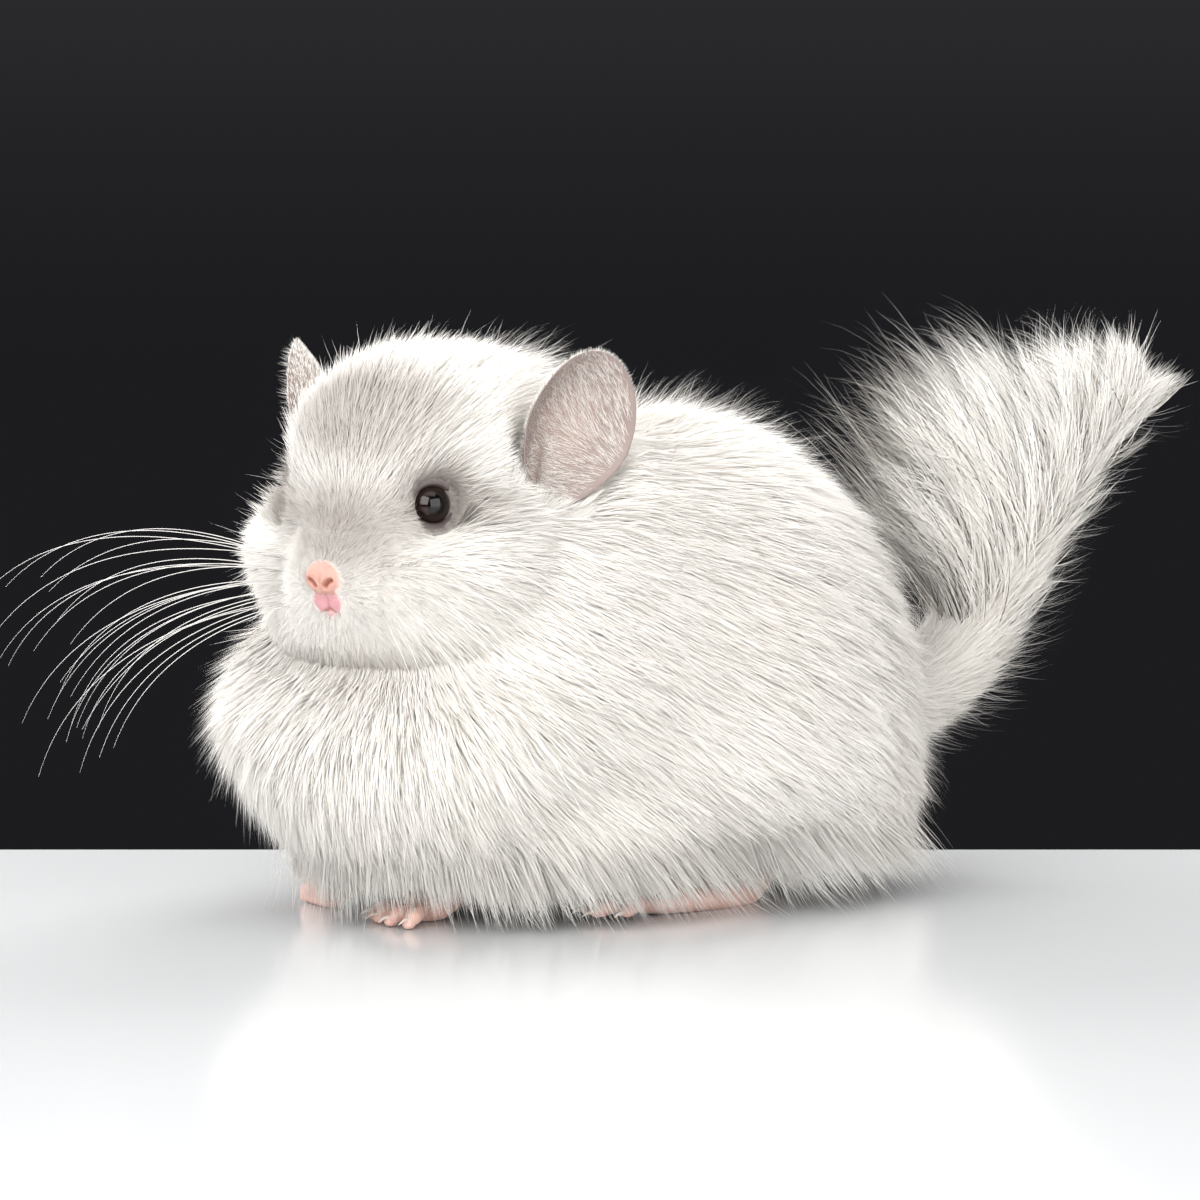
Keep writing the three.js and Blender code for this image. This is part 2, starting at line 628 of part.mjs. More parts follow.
addPart("tail_middle", halfSpace(fuse([tailMiddle, ...middleLocks]), secondCut, false), tailLine.getPoint(TAIL_CUTS[0]), COLOURS.plume);
addPart("tail_tip", largest(halfSpace(fuse([tailTip, ...tipLocks]), secondCut, true)), tailLine.getPoint(TAIL_CUTS[1]), COLOURS.plume);

// The fringe along the hem of the coat, and the longer wisps low on the rump
const hemRandom = randomSource(23);
function trunkEdge(angle, height, inset) {
  const ray = vec(cos(angle), sin(angle), 0);
  const at = vec(0, 8, height);
  for (let i = 0; i < 80; i++) at.addScaledVector(ray, max(0.02, -trunk(at.x, at.y, at.z) * 0.8));
  return { root: at.addScaledVector(ray, -inset), ray };
}
const fringe = [];
const HEM_LOCKS = 36;
for (let i = 0; i < HEM_LOCKS; i++) {
  const angle = (2 * PI * (i + 0.5 * (hemRandom() - 0.5))) / HEM_LOCKS;
  const { root, ray } = trunkEdge(angle, HEM_HEIGHT + 4 * (hemRandom() - 0.5), 5);
  const backward = max(0, sin(angle));
  const fall = ray.clone().multiplyScalar(0.3 + 0.6 * backward).add(vec(0, 0.25 * backward, -1)).normalize();
  const rise = ray.clone().multiplyScalar(0.9).add(vec(0, 0, -0.7)).normalize();
  const length = (root.z - 1.5 - 3.5 * hemRandom()) / abs((fall.z * 2 + rise.z) / 3);
  fringe.push(lock({ root, rise, fall, normal: ray, length, width: 13, thickness: 2.6, segments: 3 }));
}
for (let i = 0; i < 12; i++) {
  const angle = PI / 2 + lerp(-0.95, 0.95, (i + 0.6 * hemRandom()) / 12);
  const { root, ray } = trunkEdge(angle, 26 + 26 * hemRandom(), 6);
  const fall = ray.clone().add(vec(0, 0.3, -0.9)).normalize();
  const rise = ray.clone().add(vec(0, 0, 0.1)).normalize();
  fringe.push(lock({ root, rise, fall, normal: vec(0, 0, 1), length: 20 + 7 * hemRandom(), width: 9, thickness: 2.4, segments: 3 }));
}
torsoSolid = fuse([torsoSolid.trimByPlane([0, 0, 1], 5), ...fringe]).subtract(tailCore(GAP));

for (const [name, s] of [["left", 1], ["right", -1]]) {
  const curled = s < 0;
  const [leg, foot] = [frontLeg(0, s, curled), hindFoot(0, s)];
  addPart(`front_leg_${name}`, leg, vec(s * 26, -60, 10), COLOURS.skin);
  addPart(`hind_foot_${name}`, foot, vec(s * 52, 10, 6), COLOURS.skin);
  torsoSolid = torsoSolid.subtract(frontLeg(1.5 * GAP, s, curled)).subtract(hindFoot(1.5 * GAP, s));
  torsoSolid = torsoSolid.subtract(leg).subtract(foot);
}
addPart("torso", largest(torsoSolid), torsoCentre, COLOURS.coat);

// The origin is under the middle of the whole animal, on the floor.
const chinchilla = new THREE.Group();
chinchilla.name = "chinchilla";
parts.forEach((part) => chinchilla.add(part));
const box = new THREE.Box3().setFromObject(chinchilla);
chinchilla.position.set(-(box.min.x + box.max.x) / 2, -(box.min.y + box.max.y) / 2, -box.min.z);
export default chinchilla;
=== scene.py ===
import math

import bpy
import numpy as np
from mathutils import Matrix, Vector, kdtree


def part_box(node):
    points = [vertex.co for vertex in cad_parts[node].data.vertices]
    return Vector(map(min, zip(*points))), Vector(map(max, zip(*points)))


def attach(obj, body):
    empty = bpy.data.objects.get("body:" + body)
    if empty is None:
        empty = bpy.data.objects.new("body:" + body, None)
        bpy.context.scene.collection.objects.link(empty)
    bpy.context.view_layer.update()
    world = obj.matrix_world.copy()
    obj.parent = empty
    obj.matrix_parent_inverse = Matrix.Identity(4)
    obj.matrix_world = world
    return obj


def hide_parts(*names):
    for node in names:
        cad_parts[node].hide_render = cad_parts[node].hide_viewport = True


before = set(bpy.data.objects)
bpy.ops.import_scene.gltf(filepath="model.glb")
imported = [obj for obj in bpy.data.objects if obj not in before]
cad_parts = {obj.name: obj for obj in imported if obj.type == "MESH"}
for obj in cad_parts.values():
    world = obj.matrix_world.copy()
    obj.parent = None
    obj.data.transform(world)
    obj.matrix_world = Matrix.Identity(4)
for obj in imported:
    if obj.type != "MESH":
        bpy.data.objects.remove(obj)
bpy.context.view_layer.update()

# Shapes are worked out in millimetres in the animal's own frame, with +X its left, -Y the way it faces
# and the floor at 0, and are turned into metres in the row's frame when a mesh is made.
BODY_LENGTH, BODY_WIDTH, BACK_HEIGHT, CHEST_WIDTH = 228.0, 158.0, 151.0, 132.0
HEAD_WIDTH, HEAD_LENGTH, HEAD_HEIGHT = 96.0, 92.0, 92.0
HEAD_TURN = math.radians(26)
HEAD_CENTRE = np.array([6.0, -61.0, 123.0])
EYE_RADIUS = 6.5
EAR_LENGTH, EAR_WIDTH = 47.0, 35.0
TAIL_WIDTH = 33.0
PAW_WIDTH = 16.0
AZIMUTH, ELEVATION = math.radians(58), math.radians(6)
TRUNK_HAIRS, HEAD_HAIRS, WISPS, CHEEK_WISPS, FRINGE_HAIRS = 225000, 95000, 10000, 2000, 13000
MUZZLE_HAIRS, EAR_INNER_HAIRS, EAR_BACK_HAIRS, EAR_RIM_HAIRS = 14000, 2700, 5500, 900
EAR_BASE_HAIRS, PAW_HAIRS = 4000, 3500
HIGHEST_HAIR = 183.0
PIECE_TRIANGLES = 199000
SIDES = (("left", 1), ("right", -1))
HAIR_SHARE = 1.0
rng = np.random.default_rng(7)

LEFT = np.array([math.cos(HEAD_TURN), math.sin(HEAD_TURN), 0.0])
FORWARD = np.array([math.sin(HEAD_TURN), -math.cos(HEAD_TURN), 0.0])
UP = np.array([0.0, 0.0, 1.0])
X = np.array([1.0, 0.0, 0.0])
EYE_LOCAL = np.array([20.5, 21.5, 2.5])


def unit(v):
    v = np.asarray(v, float)
    return v / np.maximum(np.linalg.norm(v, axis=-1, keepdims=True), 1e-9)


def dot(a, b):
    return (a * b).sum(-1, keepdims=True)


def along_skin(flow, normal):
    """A direction laid flat against the skin."""
    return unit(flow - dot(flow, normal) * normal)


def smooth(x, low, high):
    """0 at low and beyond it, 1 at high and beyond it, with a soft step between."""
    t = np.clip((x - low) / (high - low), 0, 1)
    return t * t * (3 - 2 * t)


def mix(a, b, t):
    return a + (b - a) * t


def head_point(x, f, z):
    return HEAD_CENTRE + x * LEFT + f * FORWARD + z * UP


def head_direction(x, f, z):
    return unit(x * LEFT + f * FORWARD + z * UP)


def to_head(p):
    d = p - HEAD_CENTRE
    return np.stack([d @ LEFT, d @ FORWARD, d[:, 2]], 1)


# Where the animal's frame lies in the row's frame, from the left eye
low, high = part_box("eye_left")
OFFSET = (np.array(low) + np.array(high)) / 2 * 1000 - head_point(*EYE_LOCAL)


def metres(p):
    return (np.asarray(p, float) + OFFSET) / 1000


# The coat's surface, the same eggs that the solids are made from
def egg(centre, radii, low_radius=None):
    c, r = np.array(centre, float), np.array(radii, float)
    low_z = r[2] if low_radius is None else low_radius

    def field(p):
        d = p - c
        rz = np.where(d[:, 2] > 0, r[2], low_z)
        k0 = np.sqrt((d[:, 0] / r[0]) ** 2 + (d[:, 1] / r[1]) ** 2 + (d[:, 2] / rz) ** 2)
        k1 = np.sqrt(
            (d[:, 0] / r[0] ** 2) ** 2 + (d[:, 1] / r[1] ** 2) ** 2 + (d[:, 2] / rz**2) ** 2
        )
        return k0 * (k0 - 1) / np.maximum(k1, 1e-6)

    return field


def soft_min(a, b, width):
    h = np.maximum(width - np.abs(a - b), 0) / width
    return np.minimum(a, b) - h * h * width / 4


def blend(fields, width):
    def field(p):
        d = fields[0](p)
        for f in fields[1:]:
            d = soft_min(d, f(p), width)
        return d

    return field


HALF = BODY_LENGTH / 2
TRUNK_EGGS = [
    ([0, -HALF + 64, 62], [CHEST_WIDTH / 2, 64, 46], 56),
    ([0, 28, 54], [BODY_WIDTH / 2, HALF - 31, BACK_HEIGHT - 56], 48),
    ([0, -14, 74], [BODY_WIDTH / 2 - 10, 66, BACK_HEIGHT - 76], 68),
    ([0, HALF - 59, 35], [BODY_WIDTH / 2 - 12, 55, 38], 29),
    ([0, -20, 34], [BODY_WIDTH / 2 - 16, 60, 30], 28),
]
NAPE_EGG = ([2, -26, 112], [40, 35, 54], 50)
HALF_HEAD = HEAD_WIDTH / 2
NOSE_TIP = HEAD_LENGTH / 2 + 1
HEAD_EGGS = [
    ([0, -5, 6], [HALF_HEAD - 8, 40, HEAD_HEIGHT / 2 - 5]),
    ([0, 9, 5], [HALF_HEAD - 15, 29, 34]),
    ([HALF_HEAD - 21, 9, -15], [20, 25, 20]),
    ([21 - HALF_HEAD, 9, -15], [20, 25, 20]),
    ([0, 20, -21], [26, 20, 18]),
    ([8, 30, -20], [10, 12, 9]),
    ([-8, 30, -20], [10, 12, 9]),
    ([0, 27, -9], [11, 17, 10]),
    ([0, 13, -30], [38, 26, 20]),
]
NOSE_EGG = ([0, NOSE_TIP - 4.5, -17.5], [6.4, 4.6, 5.2])
trunk = blend([egg(*e) for e in TRUNK_EGGS], 12)
nape = egg(*NAPE_EGG)
head_local = blend([egg(*e) for e in HEAD_EGGS], 9)
nose_local = egg(*NOSE_EGG)


def head(p):
    q = to_head(p)
    return soft_min(head_local(q), nose_local(q), 3)


def under_chin(p):
    """How far the chest draws back below the chin, so that the cheeks hang over it."""
    q = to_head(p)
    across, ahead, up = q[:, 0] / 44, (q[:, 1] - 44) / 28, (q[:, 2] + 42) / 13
    return 15 * np.exp(-(across**2) - ahead**2 - up**2)


def body(p):
    return soft_min(trunk(p) + under_chin(p), nape(p), 16)


# The middle line of the tail, as a smooth curve through a few points
TAIL_POINTS = np.array(
    [(0, 92, 50), (0, 121, 54), (1, 143, 68), (2, 159, 91), (3, 177, 113), (3, 195, 131), (3, 211, 144)],
    float,
)


def spline(points, count):
    """A smooth curve through the points, evenly spaced along its length, with its tangents."""
    p = np.asarray(points, float)
    p = np.vstack([2 * p[0] - p[1], p, 2 * p[-1] - p[-2]])
    fine = []
    for i in range(1, len(p) - 2):
        for t in np.linspace(0, 1, 24, endpoint=i == len(p) - 3):
            a, b, c, d = p[i - 1], p[i], p[i + 1], p[i + 2]
            fine.append(
                0.5
                * (
                    2 * b + (c - a) * t
                    + (2 * a - 5 * b + 4 * c - d) * t**2
                    + (3 * b - a - 3 * c + d) * t**3
                )
            )
    fine = np.array(fine)
    far = np.concatenate([[0], np.cumsum(np.linalg.norm(np.diff(fine, axis=0), axis=1))])
    at = np.linspace(0, far[-1], count)
    line = np.stack([np.interp(at, far, fine[:, k]) for k in range(3)], 1)
    return line, unit(np.gradient(line, axis=0))


TAIL_STATIONS = 60
tail_line, tail_tangent = spline(TAIL_POINTS, TAIL_STATIONS)
tail_share = np.linspace(0, 1, TAIL_STATIONS)


def tail_half(t):
    t = np.asarray(t, float)
    near = mix(1.04, 0.98, t / 0.5)
    far = mix(0.98, 0.34, np.maximum(t - 0.5, 0) ** 0.9 / 0.5**0.9)
    return TAIL_WIDTH / 2 * np.where(t < 0.5, near, far)


def tail_skin(t):
    return np.maximum(tail_half(t) - 5.5, 2.2)


def tail_at(t):
    line = np.stack([np.interp(t, tail_share, tail_line[:, k]) for k in range(3)], -1)
    along = np.stack([np.interp(t, tail_share, tail_tangent[:, k]) for k in range(3)], -1)
    return line, unit(along)


def tail_field(p):
    best = np.full(len(p), 1e3)
    for i in range(TAIL_STATIONS - 1):
        a, b = tail_line[i], tail_line[i + 1]
        ab = b - a
        h = np.clip((p - a) @ ab / (ab @ ab), 0, 1)
        d = np.linalg.norm(p - a - h[:, None] * ab, axis=1) - tail_skin(tail_share[i])
        best = np.minimum(best, d)
    return best


def nearest_tail(p):
    d = np.linalg.norm(p[:, None, :] - tail_line[None], axis=2)
    return tail_share[np.argmin(d, axis=1)], d.min(axis=1)


def near_tail(p):
    """The nearest share of the tail's length, and 1 on the tail, fading to 0 on the rump."""
    share, gap = nearest_tail(p)
    return share, smooth(-gap, -26, -15) * smooth(p[:, 1], 104, 118)


def eye_distance(q):
    """How far a place in the head's own frame lies from the nearer eye."""
    mirrored = np.stack([np.abs(q[:, 0]), q[:, 1], q[:, 2]], 1)
    return np.linalg.norm(mirrored - EYE_LOCAL, axis=1)


def depth(p):
    """How deep the coat is, from its surface to the skin: least on the muzzle and round the eyes."""
    q = to_head(p)
    on_head = smooth(body(p) - head(p), -4, 10)
    from_nose = np.linalg.norm(q - [0, NOSE_TIP - 2, -18], axis=1)
    face = np.clip(0.5 + (from_nose - 7) * 0.105, 0.4, 4.8)
    face = mix(face, 1.2, 1 - smooth(eye_distance(q), 8, 14))
    trunk_depth = mix(6.2, 5.2, smooth(p[:, 2], 30, 8))
    return mix(trunk_depth, face, on_head)


# Each ear's middle with the directions across, along and out of its cup, and each eye's gaze and middle
CUP_DEPTH = 8.0
EAR_MIDDLE = 0.53
EAR_FRAME = {}
for _, s in SIDES:
    ear_base, ear_tip = head_point(s * 40.5, -8, -0.5), head_point(s * 54, -20, 41)
    lengthwise = unit(ear_tip - ear_base)
    hollow = head_direction(s * 0.80, 0.50, -0.22)
    facing = unit(hollow - (hollow @ lengthwise) * lengthwise)
    crosswise = unit(np.cross(lengthwise, facing))
    EAR_FRAME[s] = (ear_base + lengthwise * EAR_LENGTH * EAR_MIDDLE, crosswise, lengthwise, facing)
GAZE = {s: head_direction(s * 0.86, 0.5, 0.08) for _, s in SIDES}
EYE = {s: head_point(s * EYE_LOCAL[0], EYE_LOCAL[1], EYE_LOCAL[2]) for _, s in SIDES}


def in_ear(p, s):
    """Places across, along and out of the cup of an ear, from its middle."""
    middle, crosswise, lengthwise, facing = EAR_FRAME[s]
    d = p - middle
    return d @ crosswise, d @ lengthwise, d @ facing


def off_gaze(d, s):
    """How far offsets reach along an eye's gaze, and how far they lie beside it."""
    along = d @ GAZE[s]
    return along, np.linalg.norm(d - along[:, None] * GAZE[s], axis=1)


def coat(p):
    """Below 0 inside the whole animal, out to the tips of its coat."""
    behind = smooth(-to_head(p)[:, 1], -5, 18)
    return soft_min(body(p), head(p), mix(13, 22, behind))


def near_ear(p):
    """1 within the oval of an ear, from its shell outward, fading to 0 round it and behind it."""
    most = np.zeros(len(p))
    for s in (1, -1):
        x, y, z = in_ear(p, s)
        k = np.sqrt((x / (EAR_WIDTH / 2)) ** 2 + (y / (EAR_LENGTH / 2)) ** 2)
        most = np.maximum(most, (1 - smooth(k, 1.0, 1.3)) * smooth(z, -13, -9))
    return most


def plain_skin(p):
    """Below 0 inside the skin, with a hollow at each eye."""
    d = coat(p) + depth(p)
    near = np.linalg.norm(p - HEAD_CENTRE, axis=1) < 60
    if near.any():
        part = d[near]
        for s in (1, -1):
            along, across = off_gaze(p[near] - (EYE[s] + GAZE[s] * (EYE_RADIUS + 0.9)), s)
            k = np.sqrt((across / 9.4) ** 2 + (along / 5.2) ** 2)
            dish = (k - 1) * 5.2
            part = -soft_min(-part, dish, 2.0)
        d[near] = part + 4.5 * near_ear(p[near])
    return d


def mouth_zone(p):
    """1 at the bare nose and lips, fading to 0 round them."""
    q = to_head(p)
    flat = np.sqrt((q[:, 0] / 10.5) ** 2 + ((q[:, 2] + 22) / 11) ** 2)
    return (1 - smooth(flat, 0.75, 1.0)) * smooth(q[:, 1], 24, 30)


def skin_field(p):
    d = plain_skin(p) + 3.0 * mouth_zone(p)
    behind = p[:, 1] > 60
    if behind.any():
        d[behind] = soft_min(d[behind], tail_field(p[behind]), 7)
    return d


def gradient(field, p, step=0.5):
    """The field's slope, which points out of the form."""
    g = np.empty_like(p)
    for k in range(3):
        e = np.zeros(3)
        e[k] = step
        g[:, k] = (field(p + e) - field(p - e)) / (2 * step)
    return g


def onto(field, p, rounds=5):
    """Points drawn to the surface of a field."""
    for _ in range(rounds):
        g = gradient(field, p)
        d = field(p)
        p = p - g * (d / np.maximum((g * g).sum(1), 0.05))[:, None] * 0.9
    return p


# Making meshes
def make_mesh(name, points, triangles, normals=None, attributes=None, uv=None):
    """A mesh from arrays. attributes has one number for each point, and uv one pair for each point."""
    points = metres(points)
    triangles = np.asarray(triangles, np.int32)
    sides = triangles.shape[1]
    mesh = bpy.data.meshes.new(name)
    mesh.vertices.add(len(points))
    mesh.vertices.foreach_set("co", points.astype(np.float32).ravel())
    mesh.loops.add(triangles.size)
    mesh.loops.foreach_set("vertex_index", triangles.ravel())
    mesh.polygons.add(len(triangles))
    mesh.polygons.foreach_set("loop_start", np.arange(0, triangles.size, sides, dtype=np.int32))
    mesh.update(calc_edges=True)
    mesh.polygons.foreach_set("use_smooth", np.ones(len(triangles), bool))
    for key, values in (attributes or {}).items():
        layer = mesh.attributes.new(key, "FLOAT", "POINT")
        layer.data.foreach_set("value", np.asarray(values, np.float32))
    if uv is not None:
        layer = mesh.uv_layers.new(name="OFBake")
        layer.uv.foreach_set("vector", np.asarray(uv, np.float32)[triangles.ravel()].ravel())
    if normals is not None:
        mesh.normals_split_custom_set_from_vertices(unit(normals).astype(np.float32))
    made = bpy.data.objects.new(name, mesh)
    bpy.context.scene.collection.objects.link(made)
    return made


def finished(piece, slot, material, *nodes):
    """Gives a piece its material and body, and hides the solids that it stands in for. slot is not used."""
    if material is not None:
        piece.data.materials.clear()
        piece.data.materials.append(material)
    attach(piece, "root")
    if nodes:
        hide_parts(*nodes)
    return piece


def strip_faces(rows, around, first=0):
    """Quads between rows of points, each row closed into a ring."""
    faces = []
    for i in range(rows - 1):
        low_row, high_row = first + i * around, first + (i + 1) * around
        for j in range(around):
            k = (j + 1) % around
            faces.append((low_row + j, low_row + k, high_row + k, high_row + j))
    return faces


def turned(faces):
    """The same faces seen from their other side."""
    return [(f[0],) + tuple(f[:0:-1]) for f in faces]


def gathered(pieces):
    """Several sets of points and faces as one."""
    points, faces, first = [], [], 0
    for p, f in pieces:
        points.append(p)
        faces += [tuple(first + i for i in face) for face in f]
        first += len(p)
    return np.vstack(points), faces


def turns_of(count):
    return np.linspace(0, 2 * math.pi, count, endpoint=False)


def sphere_points(rings, around):
    polar = np.linspace(0, math.pi, rings + 1)
    grid = [[math.sin(a) * math.cos(b), math.sin(a) * math.sin(b), math.cos(a)] for a in polar
            for b in turns_of(around)]
    return np.array(grid), turned(strip_faces(rings + 1, around))


def tube(route, half_width, half_depth, across, rings=14, sides=14):
    """A closed rounded limb: its half width and half depth are functions of the share of its length."""
    line, along = spline(route, rings + 1)
    side = unit(across - (along @ across)[:, None] * along)
    normal = np.cross(along, side)
    points = []
    for i, t in enumerate(np.linspace(0, 1, rings + 1)):
        w, d = half_width(t), half_depth(t)
        points += [line[i] + side[i] * w * math.cos(a) + normal[i] * d * math.sin(a) for a in turns_of(sides)]
    faces = strip_faces(rings + 1, sides)
    faces.append(tuple(range(sides))[::-1])
    faces.append(tuple(rings * sides + j for j in range(sides)))
    return np.array(points), faces


def rounded(t, blunt=0.4):
    """The share of its full width that a limb with round ends has at that share of its length."""
    return max(1 - abs(2 * t - 1) ** 2.6, 0.003) ** blunt


def fused(name, pieces, voxel, smoothing):
    """Several closed forms made into one skin by a fine voxel remesh, as points and triangles."""
    mesh = bpy.data.meshes.new(name)
    points, faces = gathered(pieces)
    mesh.from_pydata(points.tolist(), [], faces)
    mesh.update()
    made = bpy.data.objects.new(name, mesh)
    bpy.context.scene.collection.objects.link(made)
    remesh = made.modifiers.new("remesh", "REMESH")
    remesh.mode = "VOXEL"
    remesh.voxel_size = voxel
    relax = made.modifiers.new("relax", "SMOOTH")
    relax.factor = 0.5
    relax.iterations = smoothing
    evaluated = made.evaluated_get(bpy.context.evaluated_depsgraph_get())
    result = evaluated.to_mesh()
    count = len(result.vertices)
    co = np.empty(count * 3, np.float32)
    result.vertices.foreach_get("co", co)
    result.calc_loop_triangles()
    tri = np.empty(len(result.loop_triangles) * 3, np.int32)
    result.loop_triangles.foreach_get("vertices", tri)
    evaluated.to_mesh_clear()
    bpy.data.objects.remove(made)
    bpy.data.meshes.remove(mesh)
    return co.reshape(-1, 3).astype(float), tri.reshape(-1, 3)


def round_the_length(d):
    """The turn round the line from head to tail, and the slant from it, both as shares."""
    turn = np.arctan2(d[:, 0], d[:, 2]) / (2 * math.pi) + 0.5
    polar = np.arccos(np.clip(d[:, 1] / np.linalg.norm(d, axis=1), -1, 1)) / math.pi
    return turn, polar


# A flat layout of the skin: the trunk, the head and the tail each have their own part of the square
def unwrap(p):
    on_head = (body(p) - head(p)) > 2
    share, from_tail = nearest_tail(p)
    on_tail = (from_tail < 22) & (p[:, 1] > 108)
    turn, polar = round_the_length(p - [0, 8, 70])
    uv = np.stack([0.01 + 0.62 * turn, 0.01 + 0.97 * polar], 1)
    turn, polar = round_the_length(to_head(p) - [0, 0, -6])
    uv[on_head] = np.stack([0.65 + 0.33 * turn, 0.01 + 0.66 * polar], 1)[on_head]
    line, along = tail_at(share)
    side = unit(X - along[:, :1] * along)
    top = np.cross(side, along)
    d = p - line
    turn = np.arctan2((d * side).sum(1), (d * top).sum(1)) / (2 * math.pi) + 0.5
    uv[on_tail] = np.stack([0.65 + 0.33 * turn, 0.70 + 0.28 * share], 1)[on_tail]
    return uv


# Materials
def nodes_of(name):
    material = bpy.data.materials.new(name)
    material.use_nodes = True
    tree = material.node_tree
    return material, tree, tree.nodes["Principled BSDF"]


def add_node(tree, kind, **values):
    node = tree.nodes.new(kind)
    for key, value in values.items():
        setattr(node, key, value)
    return node


def colour_mix(tree, factor, a, b, kind="MIX"):
    node = add_node(tree, "ShaderNodeMix", data_type="RGBA", blend_type=kind)
    for socket, value in ((node.inputs[0], factor), (node.inputs[6], a), (node.inputs[7], b)):
        if hasattr(value, "links"):
            tree.links.new(value, socket)
        elif isinstance(value, (int, float)):
            socket.default_value = value
        else:
            socket.default_value = (*value, 1)
    return node.outputs[2]


def number(tree, kind, *values, clamp=False):
    node = add_node(tree, "ShaderNodeMath", operation=kind, use_clamp=clamp)
    for socket, value in zip(node.inputs, values):
        if hasattr(value, "links"):
            tree.links.new(value, socket)
        else:
            socket.default_value = value
    return node.outputs[0]


def attribute(tree, name):
    return add_node(tree, "ShaderNodeAttribute", attribute_name=name).outputs["Fac"]


def paint(tree, shader, colour, roughness=None, shine=None):
    tree.links.new(colour, shader.inputs["Base Color"])
    if roughness is not None:
        shader.inputs["Roughness"].default_value = roughness
    if shine is not None:
        shader.inputs["Specular IOR Level"].default_value = shine


def place(tree):
    return add_node(tree, "ShaderNodeTexCoord").outputs["Object"]


def head_place(tree, position):
    """The place in the head's own frame: x to its left, y backward, z up."""
    node = add_node(tree, "ShaderNodeMapping", vector_type="TEXTURE")
    node.inputs["Location"].default_value = metres(HEAD_CENTRE)
    node.inputs["Rotation"].default_value = (0, 0, HEAD_TURN)
    tree.links.new(position, node.inputs["Vector"])
    return node.outputs[0]


def patch(tree, position, centre, radii, soft):
    """A soft oval patch: 1 in its middle and 0 outside, in metres in the frame of position."""
    move = add_node(tree, "ShaderNodeVectorMath", operation="SUBTRACT")
    move.inputs[1].default_value = centre
    tree.links.new(position, move.inputs[0])
    shrink = add_node(tree, "ShaderNodeVectorMath", operation="DIVIDE")
    shrink.inputs[1].default_value = radii
    tree.links.new(move.outputs[0], shrink.inputs[0])
    far = add_node(tree, "ShaderNodeVectorMath", operation="LENGTH")
    tree.links.new(shrink.outputs[0], far.inputs[0])
    fade = add_node(tree, "ShaderNodeMapRange", interpolation_type="SMOOTHSTEP")
    tree.links.new(far.outputs["Value"], fade.inputs[0])
    fade.inputs[1].default_value = 1 - soft
    fade.inputs[2].default_value = 1 + soft
    fade.inputs[3].default_value = 1
    fade.inputs[4].default_value = 0
    return fade.outputs[0]


def noise(tree, position, scale, detail=3.0, roughness=0.55, stretch=None):
    node = add_node(tree, "ShaderNodeTexNoise")
    if stretch is not None:
        mapping = add_node(tree, "ShaderNodeMapping")
        mapping.inputs["Scale"].default_value = stretch
        tree.links.new(position, mapping.inputs["Vector"])
        position = mapping.outputs[0]
    tree.links.new(position, node.inputs["Vector"])
    node.inputs["Scale"].default_value = scale
    node.inputs["Detail"].default_value = detail
    node.inputs["Roughness"].default_value = roughness
    return node.outputs[0]


def bumped(tree, shader, height, strength, distance):
    node = add_node(tree, "ShaderNodeBump")
    node.inputs["Strength"].default_value = strength
    node.inputs["Distance"].default_value = distance
    tree.links.new(height, node.inputs["Height"])
    tree.links.new(node.outputs[0], shader.inputs["Normal"])


def local(x, f, z):
    """Head lengths in millimetres as a place in the head's own frame in metres."""
    return (x / 1000, -f / 1000, z / 1000)


def lengths(x, f, z):
    return (x / 1000, f / 1000, z / 1000)


WHITE = (0.93, 0.915, 0.89)
CREAM = (0.90, 0.865, 0.81)
GREY = (0.43, 0.395, 0.365)
DARK = (0.16, 0.135, 0.12)


# Patches of the coat: middle, half sizes, softness, colour and strength. Lengths are in millimetres,
# on the trunk in the animal's frame and on the head in its own. The last list is mirrored to the right.
TRUNK_PATCHES = [
    ((60, 10, 92), (40, 62, 40), 0.6, GREY, 0.20),
    ((10, 100, 62), (80, 34, 70), 0.6, GREY, 0.20),
]
FACE_PATCHES = [
    ((0, 22, 28), (28, 24, 15), 0.5, GREY, 0.85),
    ((0, 37, -4), (19, 17, 12.5), 0.85, GREY, 0.95),
    # Painted shade: grey in the crease under the chin, where the cheeks hang over the chest
    ((0, 24, -49), (42, 32, 8), 0.6, GREY, 0.3),
]
EYE_PATCHES = [
    ((22, 21, 5), (14, 14, 13), 0.45, GREY, 0.9),
    ((23.5, 16.5, 5.5), (6.5, 7.5, 6.5), 0.6, DARK, 0.7),
    ((32, 8, 0), (12, 15, 8), 0.5, GREY, 0.8),
    ((20.5, 21.5, 2.5), (9.6, 9.6, 9.2), 0.16, DARK, 0.8),
]


def marks_and_chin_shade(tree):
    """The coat's colour from its place: pale all over, with a grey-beige mask, faint smudges and painted
    shade in the crease under the chin.
    """
    at = place(tree)
    face = head_place(tree, at)
    blotch = noise(tree, at, 42, 4.0, 0.6)
    colour = colour_mix(tree, noise(tree, at, 14, 2.0, 0.5), WHITE, CREAM)
    patches = [(at, tuple(metres(middle)), *rest) for middle, *rest in TRUNK_PATCHES]
    patches += [(face, local(*middle), *rest) for middle, *rest in FACE_PATCHES]
    for _, s in SIDES:
        patches += [(face, local(s * x, f, z), *rest) for (x, f, z), *rest in EYE_PATCHES]
    for position, middle, half_sizes, soft, tint, strength in patches:
        mask = patch(tree, position, middle, lengths(*half_sizes), soft)
        varied = number(tree, "MULTIPLY", mask, number(tree, "MULTIPLY_ADD", blotch, 1.1, 0.45), clamp=True)
        colour = colour_mix(tree, number(tree, "MULTIPLY", varied, strength), colour, tint)
    return at, colour


